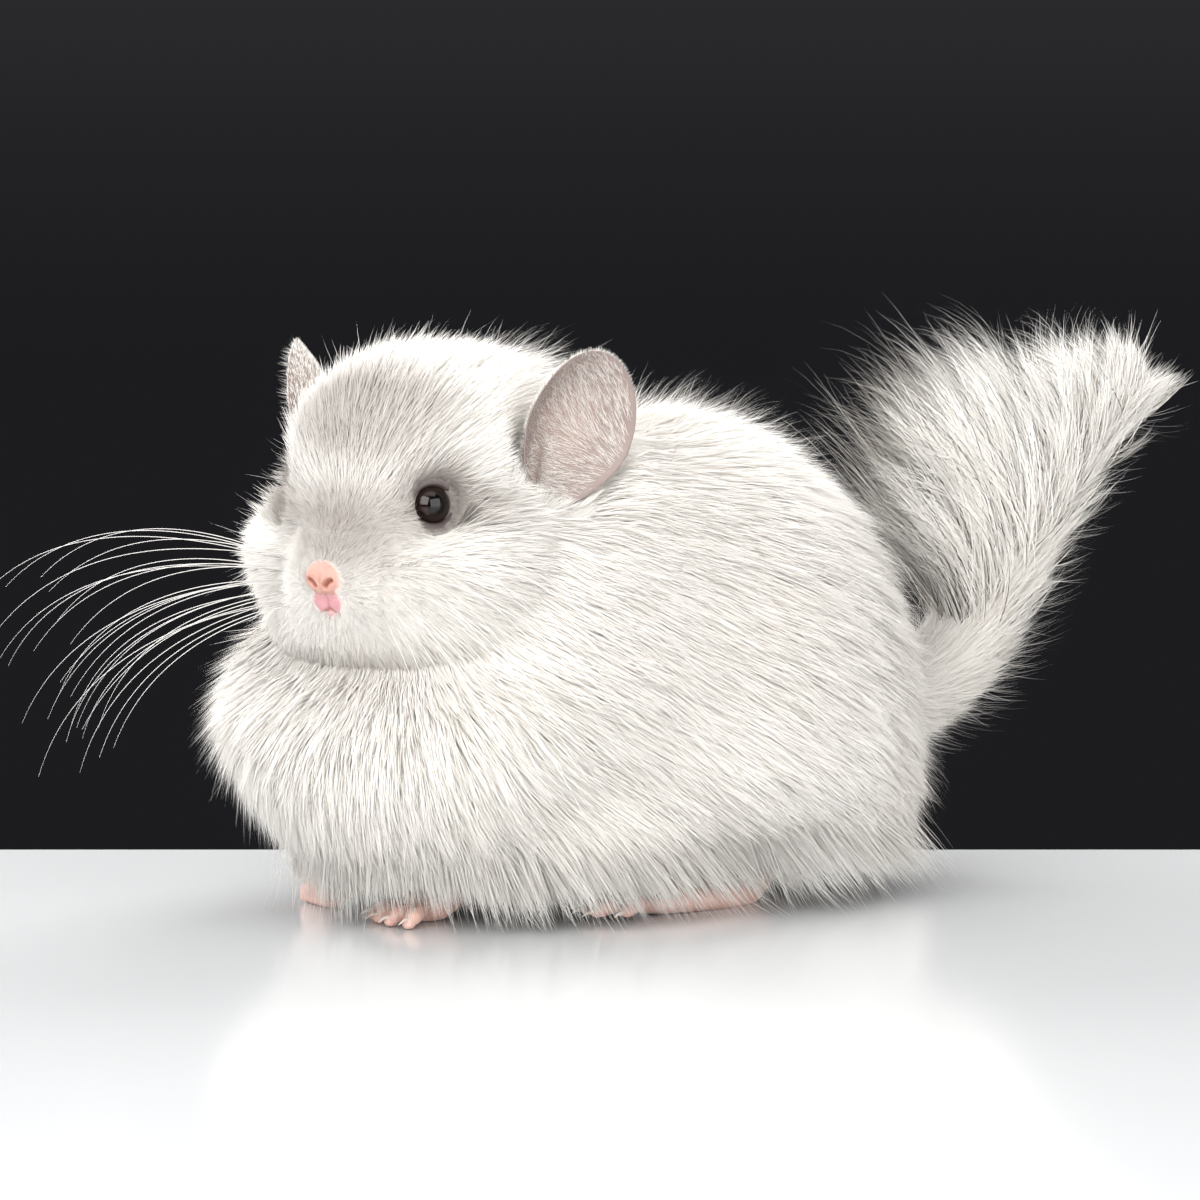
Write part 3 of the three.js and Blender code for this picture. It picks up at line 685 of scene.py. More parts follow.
def coat_material(name, root_shade):
    """Hair, darker at its roots and a little different from one hair to the next."""
    material, tree, shader = nodes_of(name)
    _, colour = marks_and_chin_shade(tree)
    shaded = (root_shade, root_shade * 0.985, root_shade * 0.965)
    root = colour_mix(tree, 1.0, colour, shaded, "MULTIPLY")
    colour = colour_mix(tree, number(tree, "POWER", attribute(tree, "along"), 0.6), root, colour)
    varied = colour_mix(tree, 1.0, colour, (0.83, 0.815, 0.795), "MULTIPLY")
    paint(tree, shader, colour_mix(tree, attribute(tree, "tint"), colour, varied), 0.62, 0.2)
    return material


def skin_material():
    material, tree, shader = nodes_of("undercoat")
    at, colour = marks_and_chin_shade(tree)
    fine = noise(tree, at, 900, 3.0, 0.6, (1, 0.25, 1))
    colour = colour_mix(tree, 1.0, colour, (0.72, 0.70, 0.68), "MULTIPLY")
    colour = colour_mix(tree, number(tree, "MULTIPLY", fine, 0.4), colour, (0.55, 0.52, 0.5))
    paint(tree, shader, colour, 0.9)
    bumped(tree, shader, fine, 0.6, 0.0006)
    return material


def flesh_material(name, base, deep, subsurface, pores, roughness):
    """Bare skin: mottled, finely creased and a little moist."""
    material, tree, shader = nodes_of(name)
    at = place(tree)
    blotch = noise(tree, at, 260, 4.0, 0.6)
    colour = colour_mix(tree, number(tree, "MULTIPLY_ADD", blotch, 1.6, -0.35, clamp=True), base, deep)
    paint(tree, shader, colour, roughness)
    cell = add_node(tree, "ShaderNodeTexVoronoi")
    cell.inputs["Scale"].default_value = pores
    tree.links.new(at, cell.inputs["Vector"])
    fine = noise(tree, at, pores * 0.6, 3.0)
    bumped(tree, shader, number(tree, "ADD", cell.outputs["Distance"], fine), 0.5, 0.00025)
    shader.inputs["Subsurface Weight"].default_value = subsurface
    shader.inputs["Subsurface Radius"].default_value = (1.0, 0.35, 0.22)
    shader.inputs["Subsurface Scale"].default_value = 0.0018
    return material, tree, shader, colour


# The skin: the eggs drawn in a little and fused with the tail, then drawn onto the exact surface
def shrunk_egg(centre, radii, low_radius=None, inset=0.0, on_head=False):
    grid, faces = sphere_points(28, 36)
    r = np.array(radii, float)
    rz = np.where(grid[:, 2] > 0, r[2], r[2] if low_radius is None else low_radius)
    wide, long = np.full(len(grid), r[0] - inset), np.full(len(grid), r[1] - inset)
    points = np.array(centre, float) + grid * np.stack([wide, long, rz - inset], 1)
    if on_head:
        points = head_point(points[:, :1], points[:, 1:2], points[:, 2:])
    return points, faces


def tail_width(t):
    return float(tail_skin(t))


forms = [shrunk_egg(*e, inset=7) for e in TRUNK_EGGS + [NAPE_EGG]]
forms += [shrunk_egg(*e, inset=2.5, on_head=True) for e in HEAD_EGGS]
forms.append(shrunk_egg(*NOSE_EGG, inset=0.5, on_head=True))
forms.append(tube(tail_line[::4], tail_width, tail_width, X, 30, 20))
skin_points, skin_faces = fused("skin_form", forms, 1.5, 2)
skin_points = onto(skin_field, skin_points, 6)
skin_piece = make_mesh("skin", skin_points, skin_faces, uv=unwrap(skin_points))
COAT_NODES = ["torso", "neck", "head", "whisker_pad_left", "whisker_pad_right"]
COAT_NODES += ["tail_root", "tail_middle", "tail_tip"]
finished(skin_piece, "coat", skin_material(), *COAT_NODES)

# Where the hairs grow, and which way they lie
corner = skin_points[skin_faces]


def areas(corners):
    edges = np.cross(corners[:, 1] - corners[:, 0], corners[:, 2] - corners[:, 0])
    return np.linalg.norm(edges, axis=1) / 2


def picked(chance, count):
    """Random faces, each as likely as its chance."""
    chance = np.cumsum(chance / chance.sum())
    return np.minimum(np.searchsorted(chance, rng.random(count)), len(chance) - 1)


face_area = areas(corner)
face_centre = corner.mean(axis=1)


def scatter(weight, count):
    """Roots spread over the skin, with more where weight is high."""
    c = corner[picked(face_area * weight, count)]
    a, b = rng.random(count), rng.random(count)
    flip = a + b > 1
    a[flip], b[flip] = 1 - a[flip], 1 - b[flip]
    return c[:, 0] + (c[:, 1] - c[:, 0]) * a[:, None] + (c[:, 2] - c[:, 0]) * b[:, None]


def lie(p, n):
    """The way the coat lies at each point, along the skin."""
    q = to_head(p)
    on_head = smooth(body(p) - head(p), -10, 14)[:, None]
    front = smooth(-p[:, 1], 38, 96)[:, None]
    low = smooth(-p[:, 2], -48, -10)[:, None]
    side = np.sign(p[:, :1]) * np.minimum(np.abs(p[:, :1]) / 40, 1)
    back = np.array([0.0, 0.80, -0.60]) + side * [0.25, 0, 0]
    chest = np.array([0.0, 0.10, -1.0]) + side * [0.10, 0, 0]
    hem = np.array([0.0, 0.25, -1.0]) + unit(p - [0, 8, 0]) * [0.35, 0.35, 0]
    flow = mix(mix(back, chest, front), hem, low)
    nose = head_point(0, NOSE_TIP - 3, -13)
    face = unit(p - nose) - 0.25 * FORWARD + np.array([0, 0, -0.12])
    for s in (1, -1):
        away = p - EYE[s]
        gap = np.linalg.norm(away, axis=1)[:, None]
        face = face + unit(away) * 1.3 * np.exp(-(((gap - 7) / 6.0) ** 2))
    flow = mix(flow, face, on_head)
    share, on_tail = near_tail(p)
    return along_skin(mix(flow, tail_at(share)[1], on_tail[:, None]), n)


def rooted(weight, count):
    """Roots on the skin, their normals and the way the coat lies there."""
    root = scatter(weight, int(count * HAIR_SHARE))
    normal = unit(gradient(skin_field, root))
    return root, normal, lie(root, normal)


def ribbons(path, sides, shades, half_widths, splay):
    """Flat blades with a point at the tip: their points, custom normals and shares of their length."""
    last = len(path) - 1
    points = np.empty((len(path[0]), 2 * last + 1, 3))
    shading = np.empty_like(points)
    along = np.empty(points.shape[:2])
    for i in range(last):
        first, second = 2 * i, 2 * i + 1
        reach = sides[i] * half_widths[i]
        points[:, first], points[:, second] = path[i] - reach, path[i] + reach
        shading[:, first] = unit(shades[i] - sides[i] * splay)
        shading[:, second] = unit(shades[i] + sides[i] * splay)
        along[:, first] = along[:, second] = i / last
    points[:, -1], shading[:, -1], along[:, -1] = path[-1], shades[-1], 1
    return points, shading, along


def make_blades(name, points, shading, along, tint, spot, slot, material):
    """Meshes of blades, none with too many triangles. spot is each root's place on the flat layout."""
    count, size = along.shape
    stations = size // 2
    corners = []
    for i in range(stations - 1):
        corners += [(2 * i, 2 * i + 1, 2 * i + 3), (2 * i, 2 * i + 3, 2 * i + 2)]
    corners = np.array(corners + [(2 * stations - 2, 2 * stations - 1, 2 * stations)])
    across = np.array([0.0, 1.0] * stations + [0.5])
    offset = np.stack([np.broadcast_to(across, (count, size)), along], 2) * 0.003 - 0.0015
    uv = (spot[:, None, :] + offset).clip(0.0005, 0.9995)
    most = PIECE_TRIANGLES // len(corners)
    for k in range(0, count, most):
        part = slice(k, min(k + most, count))
        first = np.arange(part.stop - part.start)[:, None, None] * size
        values = {"along": along[part].ravel(), "tint": np.repeat(tint[part], size)}
        piece = make_mesh(
            f"{name}_{k // most + 1}",
            points[part].reshape(-1, 3),
            (corners[None] + first).reshape(-1, 3),
            shading[part].reshape(-1, 3),
            values,
            uv[part].reshape(-1, 2),
        )
        finished(piece, slot, material)


def tufts(
    name, root, normal, flow, length, width, stations, lean, material, clump=None, spread=0.10,
    soften=0.8, on_ear=False,
):
    """Blades that grow from root. lean is their angles from the normal at root and tip, in degrees."""
    count = len(root)
    length = np.broadcast_to(length, count) * (1 + 0.16 * rng.standard_normal(count)).clip(0.6, 1.4)
    width = np.broadcast_to(width, count)
    flow = along_skin(flow + rng.standard_normal((count, 3)) * spread, normal)
    lean_low = np.radians(np.broadcast_to(lean[0], count) + 5 * rng.standard_normal(count))
    lean_high = np.radians(np.broadcast_to(lean[1], count) + 6 * rng.standard_normal(count))
    at = root - normal * 0.25
    path, headings = [at], []
    for i in range(stations):
        angle = mix(lean_low, lean_high, (i + 0.5) / stations)
        headings.append(normal * np.cos(angle)[:, None] + flow * np.sin(angle)[:, None])
        at = at + headings[-1] * (length / stations)[:, None]
        path.append(at)
    headings.append(headings[-1])
    if clump is not None:
        centres, pull = clump
        tree = kdtree.KDTree(len(centres))
        for i, c in enumerate(centres):
            tree.insert(c, i)
        tree.balance()
        owner = np.array([tree.find(r)[1] for r in root])
        shift = centres[owner] - root
        shift -= dot(shift, normal) * normal
        drift = rng.standard_normal((len(centres), 3)) * 1.0
        for i in range(1, stations + 1):
            bend = shift * pull + drift[owner] * 0.07 * length[:, None]
            path[i] = path[i] + bend * (i / stations) ** 1.5
    twist = rng.uniform(-0.4, 0.4, count)[:, None]
    sides, shades, half_widths = [], [], []
    for i, heading in enumerate(headings):
        side = unit(np.cross(heading, normal) + normal * twist)
        face = unit(np.cross(side, heading))
        sides.append(side)
        shades.append(unit(mix(face * np.sign(dot(face, normal)), normal, soften)))
        half_widths.append((width * 0.5 * (1 - (i / stations) ** 1.7))[:, None])
    points, shading, along = ribbons(path, sides, shades, half_widths, 0.25)

    # No hair reaches below the floor
    rest = 0.5 + 1.2 * rng.random(count)[:, None]
    height = points[:, :, 2]
    bent = np.minimum(rest, np.maximum(height * 0.2 + rest * 0.8, 0.4))
    points[:, :, 2] = np.where(height < rest, bent, height)

    keep = np.ones(count, bool) if on_ear else clear_of_eyes(points)
    keep &= points[:, :, 2].max(axis=1) < HIGHEST_HAIR
    tint = rng.random(int(keep.sum())) ** 1.5
    make_blades(
        name, points[keep], shading[keep], along[keep], tint, unwrap(root[keep]), "coat", material
    )


def clear_of_eyes(points):
    """True for the tufts that don't cross the open part of an eye or the cup of an ear."""
    keep = np.ones(len(points), bool)
    flat = points.reshape(-1, 3)
    for s in (1, -1):
        ahead, across = off_gaze(flat - EYE[s], s)
        over = (across < 6.9) & (ahead > 0) & (ahead < 30)
        x, y, z = in_ear(flat, s)
        inside = (x / (EAR_WIDTH / 2)) ** 2 + (y / (EAR_LENGTH / 2)) ** 2 < 0.85
        over |= inside & (z > -CUP_DEPTH - 1) & (z < 14) & (y > -EAR_LENGTH * 0.36)
        keep &= ~over.reshape(len(points), -1).any(axis=1)
    return keep


coat_stuff = coat_material("coat_hair", 0.8)
face_stuff = coat_material("face_hair", 0.66)
WIDER = 1 / math.sqrt(HAIR_SHARE)
head_share = smooth(body(face_centre) - head(face_centre), -3, 4)
centre_local = to_head(face_centre)
beside = np.abs(centre_local[:, 0])
from_nose = np.linalg.norm(centre_local - [0, NOSE_TIP - 3, -19], axis=1)
bare = smooth(mouth_zone(face_centre), 0.25, 0.6)
inside_eye = eye_distance(centre_local) < 7.4
under_belly = (np.abs(face_centre) < [45, 70, 9]).all(axis=1)

# Trunk coat
root, normal, flow = rooted((1 - head_share) * np.where(under_belly, 0.25, 1.0), TRUNK_HAIRS)
length = mix(depth(root) / 0.365, 12.0, near_tail(root)[1]) * mix(1.0, 0.3, near_ear(root))
clump = (scatter(1 - head_share, 9000), 0.13)
tufts("coat_trunk", root, normal, flow, length, 0.38 * WIDER, 2, (60, 83), coat_stuff, clump, 0.08, 0.90)

# Head coat, finer and shorter towards the nose
weight = head_share * (1 - bare) * (1 + 2.2 * (1 - smooth(from_nose, 12, 40)))
root, normal, flow = rooted(weight * np.where(inside_eye, 0, 1), HEAD_HAIRS)
length = np.clip(depth(root) / 0.38, 2.2, 13) * mix(1.0, 0.3, near_ear(root))
width = (0.13 + 0.022 * length) * WIDER
clump = (scatter(head_share, 6000), 0.12)
tufts("coat_head", root, normal, flow, length, width, 2, (56, 82), face_stuff, clump, 0.09, 0.85)

# Longer wisps that stand out of the coat, most of them on the nape, behind the cheeks and on the rump
high, rear = smooth(face_centre[:, 2], 128, 150), smooth(face_centre[:, 1], 60, 100)
behind_cheek = smooth(beside, 26, 38) * smooth(-centre_local[:, 1], -22, -5)
weight = (1 - head_share) * (0.12 + 1.2 * rear + 2.2 * high)
weight = weight + head_share * (0.5 * smooth(face_centre[:, 2], 140, 155) + 3.0 * behind_cheek)
root, normal, flow = rooted(weight, WISPS)
length = depth(root) / 0.40 + 4 * rng.random(len(root)) ** 2
length = length + 5 * rng.random(len(root)) ** 3 * smooth(root[:, 2], 90, 130)
tufts("wisps", root, normal, flow, length, 0.12, 4, (28, 62), coat_stuff, None, 0.34, 0.6)

# Fine long hairs that stand out behind the cheeks
root, normal, flow = rooted(smooth(beside, 29, 36) * smooth(centre_local[:, 2], -34, -20), CHEEK_WISPS)
length = 9 + 9 * rng.random(len(root)) ** 1.5
tufts("cheek_wisps", root, normal, flow, length, 0.10, 5, (4, 40), coat_stuff, None, 0.40, 0.6)

# The ragged fringe along the hem, hanging nearly to the floor
FOREPAWS = {1: np.array([15.0, -60, 0]), -1: np.array([-26.0, -69, 0])}
normal = unit(gradient(skin_field, face_centre))
weight = (1 - head_share) * smooth(-face_centre[:, 2], -33, -20) * smooth(normal[:, 2], -0.95, -0.65)
root, normal, flow = rooted(weight, FRINGE_HAIRS)
gap = np.minimum(*(np.hypot(root[:, 0] - paw[0], root[:, 1] - paw[1]) for paw in FOREPAWS.values()))
over_foot = smooth(np.abs(root[:, 0]), 38, 50) * smooth(root[:, 1], -30, -10)
lowest = mix(mix(13, 2.0, smooth(gap, 16, 30)), 1.2, over_foot)
length = np.clip((root[:, 2] - lowest) * rng.uniform(0.78, 1.04, len(root)), 6, 32)
clump = (scatter(weight, 700), 0.40)
lean = (mix(34, 24, over_foot), mix(44, 38, over_foot))
tufts("hem_fringe", root, normal, flow, length, 0.30, 3, lean, coat_stuff, clump, 0.10, 0.85)

# The bare nose, lips and the line of the mouth, one fine piece let into the muzzle
nose_x, nose_z = np.meshgrid(np.linspace(-12.5, 12.5, 110), np.linspace(-34.5, -8, 116), indexing="ij")
flat_x, flat_z = nose_x.ravel(), nose_z.ravel()


def nose_front(x, z):
    """How far forward the skin lies at that place of the face."""
    f = np.full(len(x), 62.0)
    for _ in range(60):
        d = plain_skin(head_point(x[:, None], f[:, None], z[:, None]))
        f = np.where(f > 10, f - np.clip(d, 0, 4) * 0.7, f)
    return f


def line_distance(x, z, route):
    best = np.full(len(x), 1e3)
    for (ax, az), (bx, bz) in zip(route[:-1], route[1:]):
        vx, vz = bx - ax, bz - az
        h = np.clip(((x - ax) * vx + (z - az) * vz) / (vx * vx + vz * vz), 0, 1)
        best = np.minimum(best, np.hypot(x - ax - h * vx, z - az - h * vz))
    return best


base_f = nose_front(flat_x, flat_z)
side_x = np.abs(flat_x)
pad_shape = np.sqrt((flat_x / (6.3 - 0.10 * (flat_z + 17))) ** 2 + ((flat_z + 17.5) / 5.2) ** 2)
pad = 1 - smooth(pad_shape, 0.82, 1.08)
slit = line_distance(side_x, flat_z, [(1.7, -19.9), (2.6, -18.8), (3.7, -18.3)])
philtrum = line_distance(side_x, flat_z, [(0, -15.5), (0, -21), (0, -27.2)])
mouth = line_distance(side_x, flat_z, [(0, -27.0), (2.5, -28.6), (5.5, -30.0), (9.0, -32.4), (10.5, -33.8)])
lip = np.exp(-(((side_x - 2.8) / 3.1) ** 2 + ((flat_z + 24.9) / 3.1) ** 2))
lower_lip = np.exp(-((flat_x / 3.6) ** 2 + ((flat_z + 31.2) / 2.0) ** 2))
raised = 0.75 * pad + 0.5 * pad * np.exp(-(((side_x - 4.9) / 1.8) ** 2 + ((flat_z + 18.6) / 2.4) ** 2))
raised += 0.8 * lip + 0.2 * lower_lip
raised -= 1.7 * np.exp(-((slit / 0.62) ** 2)) * pad
raised -= 0.55 * np.exp(-((philtrum / 0.42) ** 2)) * smooth(-flat_z, 15, 19)
raised -= 0.9 * np.exp(-((mouth / 0.45) ** 2)) * (1 - smooth(side_x, 5.0, 9.0))
raised -= 0.35 * np.exp(-(((pad_shape - 1.08) / 0.08) ** 2)) * smooth(flat_z, -24, -20)
edge = np.maximum(np.abs(flat_x) / 12.5, np.abs(flat_z + 21.25) / 13.25)
raised = raised + 0.15 - 3.0 * smooth(edge, 0.76, 1.0)
nose_f = base_f + raised
nose_points = head_point(flat_x[:, None], nose_f[:, None], flat_z[:, None])
index = np.arange(nose_x.size).reshape(nose_x.shape)
nose_faces = np.stack([index[:-1, :-1], index[:-1, 1:], index[1:, 1:], index[1:, :-1]], -1).reshape(-1, 4)
between = (1 - smooth(side_x, 2.8, 4.4)) * smooth(-flat_z, 17, 19) * (1 - smooth(-flat_z, 29.5, 32))
pink = np.clip(pad + 0.9 * smooth(lip, 0.3, 0.8) + 0.8 * smooth(lower_lip, 0.4, 0.8) + 0.85 * between, 0, 1)
mauve = smooth(-flat_z, 21.5, 24)
# Painted shade: the nostril slits and the line of the mouth are darkened where they sink in
mouth_shade = 0.6 * np.exp(-((mouth / 0.5) ** 2)) * (1 - smooth(side_x, 4.0, 8.0))
slit_and_mouth_painted_shade = np.clip(np.exp(-((slit / 0.75) ** 2)) * pad + mouth_shade, 0, 1)

nose_stuff, tree, shader, flesh = flesh_material(
    "nose_skin", (0.60, 0.34, 0.28), (0.52, 0.27, 0.22), 0.2, 3200, 0.45
)
flesh = colour_mix(tree, attribute(tree, "mauve"), flesh, (0.56, 0.28, 0.30))
flesh = colour_mix(tree, attribute(tree, "pink"), (0.84, 0.79, 0.75), flesh)
# Painted shade in the nostril slits and along the line of the mouth
flesh = colour_mix(tree, attribute(tree, "dark"), flesh, (0.34, 0.13, 0.08))
paint(tree, shader, flesh)
shades = {"pink": pink, "mauve": mauve, "dark": slit_and_mouth_painted_shade}
nose_piece = make_mesh("nose_and_lips", nose_points, nose_faces[:, ::-1], attributes=shades)
finished(nose_piece, "paw_skin", nose_stuff)

# Short down on the muzzle, round the bare nose
root_x, root_z = rng.uniform(-12.3, 12.3, MUZZLE_HAIRS), rng.uniform(-35, -8, MUZZLE_HAIRS)
on_nose = 1 - smooth(np.sqrt((root_x / 6.2) ** 2 + ((root_z + 18.4) / 4.8) ** 2), 0.62, 1.1)
on_lips = 1 - smooth(np.sqrt((root_x / 4.8) ** 2 + ((root_z + 25.2) / 3.6) ** 2), 0.6, 1.1)
keep = rng.random(MUZZLE_HAIRS) > np.clip(on_nose + on_lips, 0, 1) * 1.25
root_x, root_z = root_x[keep], root_z[keep]
root = head_point(root_x[:, None], nose_front(root_x, root_z)[:, None], root_z[:, None])
normal = unit(gradient(plain_skin, root))
flow = along_skin(root - head_point(0, NOSE_TIP, -21), normal)
length = 1.8 + 1.9 * np.hypot(root_x / 6, (root_z + 21) / 8)
tufts("muzzle_down", root, normal, flow, length, 0.18, 2, (46, 78), face_stuff, None, 0.18)

# Eyes
eye_stuff, tree, shader = nodes_of("eye")
ring = noise(tree, place(tree), 900, 2.0)
brown = colour_mix(tree, ring, (0.006, 0.003, 0.002), (0.018, 0.008, 0.005))
black = (0.002, 0.0015, 0.0015)
paint(tree, shader, colour_mix(tree, attribute(tree, "iris"), black, brown), 0.04, 0.38)
lid_stuff, tree, shader, lid_colour = flesh_material(
    "eyelid", (0.10, 0.075, 0.068), (0.05, 0.035, 0.032), 0.1, 3600, 0.4
)
paint(tree, shader, colour_mix(tree, attribute(tree, "outer"), lid_colour, (0.22, 0.19, 0.175)))
LID_TURNS = 96


def centred(angle):
    """The same angle, between half a turn back and half a turn on."""
    return (angle + math.pi) % (2 * math.pi) - math.pi


def dome(reach):
    """How far out a ball a little larger than the eye stands, at that distance from the gaze."""
    return np.sqrt(np.maximum((EYE_RADIUS + 0.15) ** 2 - reach * reach, 0.0))


for name, s in SIDES:
    gaze, centre = GAZE[s], EYE[s]
    ahead = unit(FORWARD - (FORWARD @ gaze) * gaze)
    upward = np.cross(gaze, ahead) if s < 0 else np.cross(ahead, gaze)
    upward = upward * np.sign(upward @ UP)
    grid, faces = sphere_points(40, 64)
    off_axis = np.arccos(np.clip(grid[:, 2], -1, 1))
    bulge = 1 + 0.035 * np.exp(-((off_axis / 0.75) ** 2))
    way = grid[:, :1] * ahead + grid[:, 1:2] * upward + grid[:, 2:] * gaze
    eyeball = centre + way * EYE_RADIUS * bulge[:, None]
    iris = smooth(off_axis, 0.42, 0.50) * (1 - 0.6 * smooth(off_axis, 0.95, 1.10))
    quads = np.array(faces)
    if np.cross(ahead, upward) @ gaze < 0:
        quads = quads[:, ::-1]
    ball = make_mesh(f"eyeball_{name}", eyeball, quads, attributes={"iris": iris})
    finished(ball, "eye", eye_stuff, f"eye_{name}")

    angle = turns_of(LID_TURNS)
    ray = np.cos(angle)[:, None] * ahead + np.sin(angle)[:, None] * upward
    tear = np.exp(-(((centred(angle) + 0.25) / 0.30) ** 2))
    outer_corner = np.exp(-((centred(angle - 2.9) / 0.35) ** 2))
    opening = 5.95 * (1 - 0.07 * np.sin(angle - 0.15) ** 2) + 0.85 * tear + 0.45 * outer_corner

    def skin_height(reach):
        """Where the skin lies along the gaze, at that distance from it."""
        t = np.full(LID_TURNS, 12.0)
        for _ in range(50):
            d = plain_skin(centre + ray * reach[:, None] + gaze * t[:, None])
            t = t - np.clip(d, 0, 3) * 0.7
        return t

    # Rings of the lid from under the eyeball's edge out into the fur: offset, share of the skin, lift, tone
    rim_height = dome(np.minimum(opening, 6.4))
    rings, outer = [], []
    for out, on_skin, lift, tone in (
        (-0.35, 0, -0.30, 0), (0, 0, 0.12, 0), (0.18, 0, 0.50, 0), (0.55, 0, 0.75, 0.05),
        (1.05, 0, 0.70, 0.35), (1.4, 0.5, 0.2, 0.5), (2.0, 0.9, 0.0, 1), (2.9, 1.0, -0.8, 1),
    ):
        reach = opening + out
        height = mix(rim_height + 0.5, skin_height(reach), on_skin) if on_skin else rim_height
        rings.append(centre + ray * reach[:, None] + gaze * (height + lift)[:, None])
        outer.append(np.full(LID_TURNS, tone))
    lid_points = np.vstack(rings)
    lid_faces = np.array(strip_faces(len(rings), LID_TURNS))
    if np.cross(ahead, upward) @ gaze > 0:
        lid_faces = lid_faces[:, ::-1]
    lids = make_mesh(f"eyelids_{name}", lid_points, lid_faces, attributes={"outer": np.concatenate(outer)})
    finer = lids.modifiers.new("smooth", "SUBSURF")
    finer.levels = finer.render_levels = 1
    finished(lids, "face", lid_stuff)

# Ears: a thin oval cup, its hollow facing out and forward
ear_stuff, tree, shader, ear_colour = flesh_material(
    "ear_skin", (0.31, 0.245, 0.22), (0.26, 0.205, 0.185), 0.12, 1800, 0.6
)
ear_colour = colour_mix(tree, attribute(tree, "deep"), ear_colour, (0.40, 0.28, 0.24))
paint(tree, shader, colour_mix(tree, attribute(tree, "rim"), ear_colour, (0.25, 0.20, 0.185)))
EAR_TURNS = 96
RIM_PROFILE = [(0.99, 0.12), (1.012, -0.1), (1.02, -0.45), (1.005, -0.8), (0.98, -0.95)]
for name, s in SIDES:
    middle, crosswise, lengthwise, facing = EAR_FRAME[s]
    base = middle - lengthwise * EAR_LENGTH * EAR_MIDDLE

    def sheet(rho, angle, lift):
        """A place on the cup: rho from its middle, 0, to its rim, 1."""
        rho, angle, lift = np.broadcast_arrays(rho, angle, lift)
        upness = np.sin(angle)
        narrow = np.where(upness < 0, 1 - 0.34 * np.abs(upness) ** 1.4, 1)
        x = EAR_WIDTH / 2 * rho * np.cos(angle) * narrow
        y = EAR_LENGTH / 2 * 1.04 * rho * upness
        bowl = CUP_DEPTH * rho**2 * (1 + 0.35 * np.cos(angle) ** 2) - CUP_DEPTH
        ripple = 0.35 * np.sin(9 * angle + 2) * smooth(rho, 0.5, 1.0) * (1 - smooth(rho, 0.93, 1.0))
        fold = 1.3 * np.exp(-(((x * s * -1 - 5) / 2.2) ** 2 + ((y + 13) / 9.0) ** 2))
        fold = fold + 1.0 * np.exp(-(((x * s * -1 + 6) / 2.6) ** 2 + ((y + 16) / 7.0) ** 2))
        z = bowl + ripple + fold + lift
        return middle + x[..., None] * crosswise + y[..., None] * lengthwise + z[..., None] * facing

    profile = [(r, 0.0, 0) for r in np.linspace(0.02, 0.97, 22)]
    profile += [(r, lift, 1) for r, lift in RIM_PROFILE]
    profile += [(r, -0.95, 0) for r in np.linspace(0.95, 0.02, 18)]
    rows = [sheet(r, turns_of(EAR_TURNS), lift) for r, lift, _ in profile]
    rim = np.repeat([0.9 * on_rim for _, _, on_rim in profile], EAR_TURNS)
    deepness = np.repeat([float(1 - smooth(r, 0.15, 0.8)) for r, _, _ in profile], EAR_TURNS)
    ear_points = np.vstack(rows)
    ear_faces = np.array(strip_faces(len(rows), EAR_TURNS))
    if np.cross(crosswise, lengthwise) @ facing < 0:
        ear_faces = ear_faces[:, ::-1]
    shell = make_mesh(f"ear_shell_{name}", ear_points, ear_faces, attributes={"rim": rim, "deep": deepness})
    finished(shell, "ear_skin", ear_stuff, f"ear_{name}")

    def ear_hair(label, count, low_rho, high_rho, lift, size, width, lean, direction):
        rho = np.sqrt(rng.uniform(low_rho**2, high_rho**2, count))
        angle = rng.uniform(0, 2 * math.pi, count)
        root = sheet(rho, angle, np.full(count, lift))
        a = sheet(rho + 0.01, angle, np.full(count, lift)) - root
        b = sheet(rho, angle + 0.01, np.full(count, lift)) - root
        normal = unit(np.cross(a, b))
        normal = normal * np.sign(normal @ facing)[:, None] * (1 if lift >= 0 else -1)
        flow = along_skin(direction(unit(a)), normal)
        tufts(label, root, normal, flow, size(rho, angle), width, 2, lean, coat_stuff, None, 0.18, 0.8, True)

    outward = crosswise * np.sign(crosswise @ LEFT * s)
    ear_hair(
        f"ear_inner_hair_{name}", int(EAR_INNER_HAIRS * HAIR_SHARE), 0.0, 0.97, 0.05,
        lambda r, a: 4.2 + 2.0 * (1 - r), 0.10, (64, 86),
        lambda a: -outward + 0.35 * a + 0.25 * lengthwise,
    )
    ear_hair(
        f"ear_back_fur_{name}", int(EAR_BACK_HAIRS * HAIR_SHARE), 0.0, 1.0, -0.95,
        lambda r, a: 1.6 + 4.5 * smooth(-np.sin(a) * r, 0.1, 0.9) + 0.8 * (1 - r), 0.30, (50, 80),
        lambda a: a * 0.6 + lengthwise,
    )
    rim_angle = rng.uniform(0, 2 * math.pi, EAR_RIM_HAIRS)
    root = sheet(np.full(EAR_RIM_HAIRS, 1.01), rim_angle, np.full(EAR_RIM_HAIRS, -0.45))
    flow = unit(root - middle)
    tufts(
        f"ear_rim_down_{name}", root, unit(flow + facing * 0.3), unit(lengthwise + flow), 1.7, 0.13, 2,
        (20, 55), coat_stuff, None, 0.3, 0.8, True,
    )

    # The fluff that stands round the base of the ear
    ring_angle = rng.uniform(0, 2 * math.pi, int(EAR_BASE_HAIRS * HAIR_SHARE))
    ring_reach = rng.uniform(0.7, 1.25, len(ring_angle))
    over = crosswise * (11 * np.cos(ring_angle) * ring_reach)[:, None]
    out = facing * (9 * np.sin(ring_angle) * ring_reach)[:, None]
    root = onto(skin_field, base + lengthwise * 2 + over + out, 5)
    normal = unit(gradient(skin_field, root))
    flow = along_skin(unit(lengthwise + 0.5 * unit(root - base) - FORWARD * 0.3), normal)
    length = np.where((root - base) @ facing > 2, 5.0, 10.0)
    tufts(f"ear_base_fluff_{name}", root, normal, flow, length, 0.34, 3, (30, 62), coat_stuff, None, 0.22)

